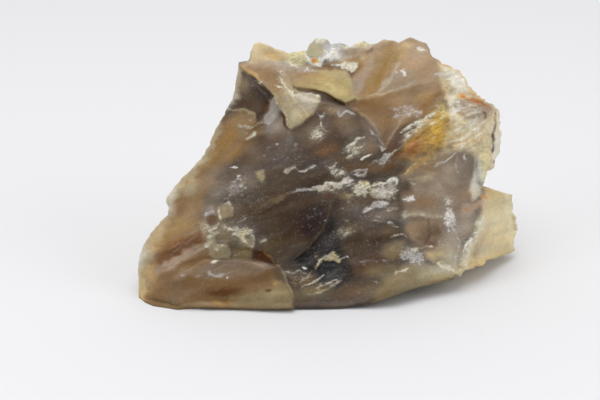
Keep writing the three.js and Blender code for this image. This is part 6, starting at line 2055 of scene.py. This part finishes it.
    def fleck_mask(self, tree: "Nodes", field: Socket, crust: Socket) -> Socket:
        """Where flecks lie: the field, stretched to 0..1, passes 1 - the crust's thickness.

        Args:
            tree: the material's nodes.
            field: uneven field 0..1.
            crust: thickness of the crust, 0..1.

        Returns:
            The mask 0..1, soft over the width of a fleck's edge.
        """
        middle = 0.5 - 0.5 * self.fleck_contrast
        stronger = tree.number("MULTIPLY_ADD", field, self.fleck_contrast, middle)
        step = tree.add("ShaderNodeMapRange", interpolation_type="SMOOTHSTEP")
        tree.feed(stronger, step.inputs["Value"])
        fall = -1 - self.fleck_edge
        tree.feed(tree.number("MULTIPLY_ADD", crust, fall, 1.0), step.inputs["From Min"])
        tree.feed(tree.number("MULTIPLY_ADD", crust, fall, 1 + self.fleck_edge), step.inputs["From Max"])
        return step.outputs["Result"]

    def veins(self, tree: "Nodes", place: Socket, crust: Socket) -> Socket:
        """Thin bright lines in the crust: where a field is close to 0.5, wider where the crust is thicker.

        Args:
            tree: the material's nodes.
            place: Object coordinates.
            crust: thickness of the crust, 0..1.

        Returns:
            The lines' mask 0..1.
        """
        _, field = self.uneven(tree, place, place, self.vein_size, self.vein_length, 0.0)
        distance = tree.number("ABSOLUTE", tree.number("SUBTRACT", field, 0.5))
        width = tree.number("MULTIPLY_ADD", crust, self.vein_width, self.vein_least)
        nearness = tree.number("SUBTRACT", 1.0, tree.number("DIVIDE", distance, width))
        line = tree.number("MULTIPLY", tree.number("MAXIMUM", nearness, 0.0), self.vein_cover)
        return tree.number("MULTIPLY", tree.number("MINIMUM", line, 1.0), tree.number("POWER", crust, 0.5))

    def dust(self, tree: "Nodes", place: Socket, crust: Socket) -> tuple[Socket, Socket]:
        """Share of fine pale specks: the top of a fine field, more of them where there is crust.

        Args:
            tree: the material's nodes.
            place: Object coordinates.
            crust: thickness of the crust, 0..1.

        Returns:
            The share 0..1, and the field.
        """
        _, field = self.uneven(tree, place, place, self.dust_size, self.dust_length, 0.0)
        step = tree.add("ShaderNodeMapRange", interpolation_type="SMOOTHSTEP")
        tree.set(step, **{"From Min": self.dust_from, "From Max": self.dust_to, "To Max": self.dust_cover})
        tree.feed(field, step.inputs["Value"])
        thickness = tree.number("ADD", crust, self.dust_everywhere)
        return tree.number("MULTIPLY", step.outputs["Result"], thickness), field


class Nodes:
    """Short ways to add, set and join the nodes of one tree."""

    def __init__(self, tree: bpy.types.NodeTree) -> None:
        """Works on the given tree."""
        self.tree = tree

    def add(self, kind: str, **settings: object) -> bpy.types.Node:
        """Adds a node.

        Args:
            kind: Blender's name for its type.
            settings: properties to give it.

        Returns:
            The node.
        """
        node = self.tree.nodes.new(kind)
        for name, value in settings.items():
            setattr(node, name, value)
        return node

    def set(self, node: bpy.types.Node, **values: float | tuple[float, ...]) -> None:
        """Sets inputs of a node by name."""
        for name, value in values.items():
            node.inputs[name].default_value = value

    def feed(self, value: "Socket | float", target: Socket) -> None:
        """Joins an output to an input, or sets the input to a number.

        Args:
            value: the output or the number.
            target: the input.
        """
        if isinstance(value, (int, float)):
            target.default_value = value
        else:
            self.tree.links.new(value, target)

    def number(self, operation: str, *values: "Socket | float") -> Socket:
        """Adds a Math node.

        Args:
            operation: what it works out.
            values: what its inputs are fed, in order.

        Returns:
            Its output.
        """
        node = self.add("ShaderNodeMath", operation=operation)
        for value, target in zip(values, node.inputs):
            self.feed(value, target)
        return node.outputs[0]

    def painted(self, name: str) -> Socket:
        """Colour of one of the mesh's own attributes."""
        return self.add("ShaderNodeAttribute", attribute_name=name).outputs["Color"]


def uneven_tint_group() -> bpy.types.NodeTree:
    """Node group that lightens and darkens a colour in a field drawn out along the stone's grain.

    Returns:
        The group, built once. Inputs: Place, Colour, Size of the field's hills in metres, their
        Length as a multiple of that along the grain, and Amount. Outputs: Colour and Field 0..1.
    """
    name = "uneven tint"
    if name in bpy.data.node_groups:
        return bpy.data.node_groups[name]
    group = bpy.data.node_groups.new(name, "ShaderNodeTree")
    sockets = group.interface
    sockets.new_socket("Place", in_out="INPUT", socket_type="NodeSocketVector")
    sockets.new_socket("Colour", in_out="INPUT", socket_type="NodeSocketColor")
    for socket in ("Size", "Length", "Amount"):
        sockets.new_socket(socket, in_out="INPUT", socket_type="NodeSocketFloat")
    sockets.new_socket("Colour", in_out="OUTPUT", socket_type="NodeSocketColor")
    sockets.new_socket("Field", in_out="OUTPUT", socket_type="NodeSocketFloat")
    tree = Nodes(group)
    given = tree.add("NodeGroupInput").outputs
    result = tree.add("NodeGroupOutput").inputs
    turned = tree.add("ShaderNodeVectorRotate", rotation_type="EULER_XYZ", invert=True)
    turned.inputs["Rotation"].default_value = grain_turn()
    tree.feed(given["Place"], turned.inputs["Vector"])
    stretch = tree.add("ShaderNodeCombineXYZ")
    tree.set(stretch, Y=1.0, Z=1.0)
    tree.feed(given["Length"], stretch.inputs["X"])
    shrunk = tree.add("ShaderNodeVectorMath", operation="DIVIDE")
    tree.feed(turned.outputs["Vector"], shrunk.inputs[0])
    tree.feed(stretch.outputs["Vector"], shrunk.inputs[1])
    noise = tree.add("ShaderNodeTexNoise")
    tree.set(noise, Detail=5.0, Roughness=0.62)
    tree.feed(shrunk.outputs["Vector"], noise.inputs["Vector"])
    tree.feed(tree.number("DIVIDE", 1.0, given["Size"]), noise.inputs["Scale"])
    field = noise.outputs["Fac"]
    change = tree.number("MULTIPLY", tree.number("SUBTRACT", field, 0.5), given["Amount"])
    scaled = tree.add("ShaderNodeVectorMath", operation="SCALE")
    tree.feed(given["Colour"], scaled.inputs[0])
    tree.feed(tree.number("MULTIPLY_ADD", change, 4.0, 1.0), scaled.inputs["Scale"])
    tree.feed(scaled.outputs["Vector"], result["Colour"])
    tree.feed(field, result["Field"])
    return group


def grain_turn() -> tuple[float, float, float]:
    """Euler angles that turn X along the grain and Z towards the viewer.

    Returns:
        The three angles.
    """
    right, upward, towards = VIEW.axes
    along, over = turned(right, upward, GRAIN_ANGLE)
    return tuple(Matrix(np.stack((along, over, towards), 1).tolist()).to_euler("XYZ"))


@dataclass(frozen=True)
class Stone:
    """The whole stone: one closed mesh made of two sheets, with its painted skin."""

    form: StoneForm
    painter: Painter
    finish: ChalcedonyFinish
    name: str = "rough_stone"

    def build(self) -> bpy.types.Object:
        """Makes the mesh, paints it and puts it in the scene.

        Returns:
            The finished object, at the origin, with its place in its mesh.
        """
        rim = Rim(self.form, 4 * FRONT_SQUARES)
        front, back = Sheet(FRONT_SQUARES, rim), Sheet(FRONT_SQUARES // 2, rim)
        across, up, on_rim, index = front.nodes
        skin = self.painter.front(across, up)
        depth = self.form.front_depth(across, up, rim, skin.raised)
        depth[on_rim] = rim.value(rim.depth, index[on_rim])
        back_across, back_up, back_on_rim, back_index = back.nodes
        from_rim, _, nearest = to_line(rim.closed, back_across, back_up)
        back_skin = self.painter.back(back_across, back_up, from_rim)
        back_depth = self.form.back_depth(back_across, back_up, rim, from_rim, nearest)

        inner = ~back_on_rim
        points = np.concatenate((
            VIEW.in_space(across, up, depth),
            VIEW.in_space(back_across[inner], back_up[inner], back_depth[inner]),
        ))
        at_rim = np.zeros(len(rim.points), int)
        at_rim[np.rint(index[on_rim]).astype(int) % len(at_rim)] = np.flatnonzero(on_rim)
        number = np.zeros(len(inner), int)
        number[inner] = len(across) + np.arange(inner.sum())
        number[back_on_rim] = at_rim[np.rint(back_index[back_on_rim]).astype(int) % len(at_rim)]
        back_triangles = self.split_at_rim(number[back.triangles[:, ::-1]], at_rim)
        triangles = np.concatenate((front.triangles, back_triangles))

        mesh = make_mesh(self.name, points * MILLIMETRE, triangles)
        for layer, seen, hidden in (
            ("tint", to_linear(skin.colour), to_linear(back_skin.colour)),
            ("crust tint", to_linear(skin.crust_colour), to_linear(back_skin.crust_colour)),
            ("crust", skin.finish, back_skin.finish),
        ):
            paint_mesh(mesh, layer, np.concatenate((seen, hidden[inner])))
        mesh.materials.append(self.finish.material())
        stone = bpy.data.objects.new(self.name, mesh)
        bpy.context.scene.collection.objects.link(stone)
        return stone

    @staticmethod
    def split_at_rim(triangles: np.ndarray, at_rim: np.ndarray) -> np.ndarray:
        """Cuts each triangle that has a side on the outline in two, at the front sheet's node on that side.

        Args:
            triangles: the back sheet's triangles, as vertex numbers.
            at_rim: vertex number of each point of the outline.

        Returns:
            The triangles, with the cut ones replaced by two each.
        """
        count = len(at_rim)
        place = {int(vertex): k for k, vertex in enumerate(at_rim)}
        ring = np.full(max(triangles.max(), at_rim.max()) + 1, -1)
        ring[list(place)] = list(place.values())
        whole = np.ones(len(triangles), bool)
        halves = []
        for side in range(3):
            p, q, r = (triangles[:, (side + k) % 3] for k in range(3))
            gap = np.mod(ring[q] - ring[p], count)
            cut = (ring[p] >= 0) & (ring[q] >= 0) & ((gap == 2) | (gap == count - 2))
            first = np.where(gap == 2, ring[p], ring[q])
            middle = at_rim[np.mod(first + 1, count)]
            halves.append(np.stack((p, middle, r), 1)[cut])
            halves.append(np.stack((middle, q, r), 1)[cut])
            whole &= ~cut
        return np.concatenate([triangles[whole], *halves])

    def dress(self, stone: bpy.types.Object) -> None:
        """Says what the piece moves with and hides the imported part that it stands for.

        Args:
            stone: the finished piece.
        """
        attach(stone, "root")
        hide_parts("stone")


def make_mesh(name: str, points: np.ndarray, triangles: np.ndarray) -> bpy.types.Mesh:
    """Puts points and triangles into a new smooth mesh.

    Args:
        name: the mesh's name.
        points: one row of x, y, z for each vertex, in metres.
        triangles: one row of three vertex numbers for each face.

    Returns:
        The mesh.
    """
    mesh = bpy.data.meshes.new(name)
    mesh.vertices.add(len(points))
    mesh.vertices.foreach_set("co", points.astype(np.float32).ravel())
    mesh.loops.add(3 * len(triangles))
    mesh.loops.foreach_set("vertex_index", triangles.astype(np.int32).ravel())
    mesh.polygons.add(len(triangles))
    mesh.polygons.foreach_set("loop_start", np.arange(0, 3 * len(triangles), 3, dtype=np.int32))
    mesh.update(calc_edges=True)
    mesh.shade_smooth()
    return mesh


def paint_mesh(mesh: bpy.types.Mesh, name: str, colour: np.ndarray) -> None:
    """Gives a mesh a colour attribute.

    Args:
        mesh: what is painted.
        name: the attribute's name.
        colour: one row of red, green and blue for each vertex.
    """
    attribute = mesh.color_attributes.new(name, "FLOAT_COLOR", "POINT")
    with_alpha = np.concatenate((colour, np.ones((len(colour), 1))), 1)
    attribute.data.foreach_set("color", with_alpha.astype(np.float32).ravel())


def to_linear(colour: np.ndarray) -> np.ndarray:
    """Linear light from screen values, made lighter and less the gloss.

    Args:
        colour: rows of screen values, 0..1.

    Returns:
        Their linear light, which is c / 12.92 at the dark end and then ((c + 0.055) / 1.055)^2.4,
        times the lightening, less the gloss.
    """
    colour = np.clip(colour, 0, 1)
    linear = np.where(colour <= 0.04045, colour / 12.92, ((colour + 0.055) / 1.055) ** 2.4)
    return np.maximum(LIGHTEN * linear - np.array(GLOSS), DARKEST_SHARE * linear)


@dataclass(frozen=True)
class Lamp:
    """Square soft light: where it stands, in metres from the stone, its side and its power."""

    name: str
    at: tuple[float, float, float]
    side: float
    power: float
    colour: tuple[float, float, float] = (1.0, 1.0, 1.0)


@dataclass(frozen=True)
class Studio:
    """Pale floor, soft light and the camera at the view's own angle."""

    floor_half: float = 6.0
    floor_colour: tuple[float, float, float] = (0.80, 0.805, 0.83)
    floor_roughness: float = 0.9
    floor_gloss: float = 0.1
    sky_colour: tuple[float, float, float] = (0.97, 0.96, 0.945)
    sky_strength: float = 0.95
    dim_side: tuple[float, float, float] = (0.0, -0.94, 0.34)
    dim_share: float = 0.25
    dim_from: float = -0.2
    dim_full: float = 0.75
    lens: float = 116.5
    sensor: float = 36.0
    farthest_seen: float = 50.0
    lamps: tuple[Lamp, ...] = (
        Lamp("overhead soft light", (-0.05, -0.08, 0.60), 0.60, 2.0),
        Lamp("left soft light", (-0.60, -0.30, 0.35), 0.45, 0.8),
        Lamp("right soft light", (0.60, -0.25, 0.35), 0.45, 1.0),
    )

    def lay_floor(self) -> None:
        """Makes the floor: one large square at the height of zero."""
        half = self.floor_half
        corners = np.array(((-half, -half, 0), (half, -half, 0), (half, half, 0), (-half, half, 0)))
        floor = bpy.data.objects.new("floor", make_mesh("floor", corners, np.array(((0, 1, 2), (0, 2, 3)))))
        bpy.context.scene.collection.objects.link(floor)
        material = bpy.data.materials.new("pale floor")
        material.use_nodes = True
        shader = material.node_tree.nodes["Principled BSDF"]
        shader.inputs["Base Color"].default_value = (*self.floor_colour, 1)
        shader.inputs["Roughness"].default_value = self.floor_roughness
        shader.inputs["Specular IOR Level"].default_value = self.floor_gloss
        floor.data.materials.append(material)

    def set_sky(self) -> None:
        """Sets the even light from all round, which is dimmer on one side."""
        world = bpy.data.worlds.new("studio")
        world.use_nodes = True
        tree = Nodes(world.node_tree)
        background = world.node_tree.nodes["Background"]
        background.inputs["Color"].default_value = (*self.sky_colour, 1)
        direction = tree.add("ShaderNodeTexCoord")
        towards_dim = tree.add("ShaderNodeVectorMath", operation="DOT_PRODUCT")
        tree.feed(direction.outputs["Generated"], towards_dim.inputs[0])
        towards_dim.inputs[1].default_value = self.dim_side
        strength = tree.add("ShaderNodeMapRange", interpolation_type="SMOOTHSTEP")
        tree.set(strength, **{"From Min": self.dim_from, "From Max": self.dim_full})
        tree.set(strength, **{"To Min": self.sky_strength, "To Max": self.sky_strength * self.dim_share})
        tree.feed(towards_dim.outputs["Value"], strength.inputs["Value"])
        tree.feed(strength.outputs["Result"], background.inputs["Strength"])
        bpy.context.scene.world = world

    def hang_lamps(self) -> None:
        """Hangs the soft lamps, which look at the stone."""
        for lamp in self.lamps:
            data = bpy.data.lights.new(lamp.name, "AREA")
            data.size = lamp.side
            data.energy = lamp.power
            data.color = lamp.colour
            light = bpy.data.objects.new(lamp.name, data)
            light.location = lamp.at
            to_stone = Vector((0, 0, VIEW.height * MILLIMETRE)) - Vector(lamp.at)
            light.rotation_euler = to_stone.to_track_quat("-Z", "Y").to_euler()
            bpy.context.scene.collection.objects.link(light)

    def set_camera(self) -> None:
        """Puts the camera at the viewer's eye."""
        data = bpy.data.cameras.new("camera")
        data.lens = self.lens
        data.sensor_width = self.sensor
        data.clip_end = self.farthest_seen
        camera = bpy.data.objects.new("camera", data)
        eye = (VIEW.target + VIEW.distance * VIEW.axes[2]) * MILLIMETRE
        turn = Matrix(VIEW.axes.T.tolist()).to_4x4()
        camera.matrix_world = Matrix.Translation(eye.tolist()) @ turn
        bpy.context.scene.collection.objects.link(camera)
        bpy.context.scene.camera = camera
        bpy.context.scene.view_settings.view_transform = "Standard"


def main() -> None:
    """Builds the camera, the stone and the studio in order, and reports each."""
    logging.basicConfig(level=logging.INFO, format="%(message)s")
    report = logging.getLogger("stone")
    studio = Studio()
    studio.set_camera()
    report.info("camera set")
    maker = Stone(StoneForm(), Painter(), ChalcedonyFinish())
    stone = maker.build()
    maker.dress(stone)
    mesh = stone.data
    report.info("%s: %d vertices, %d triangles", stone.name, len(mesh.vertices), len(mesh.polygons))
    studio.lay_floor()
    studio.set_sky()
    studio.hang_lamps()
    report.info("floor and light set")


if __name__ == "__main__":
    main()
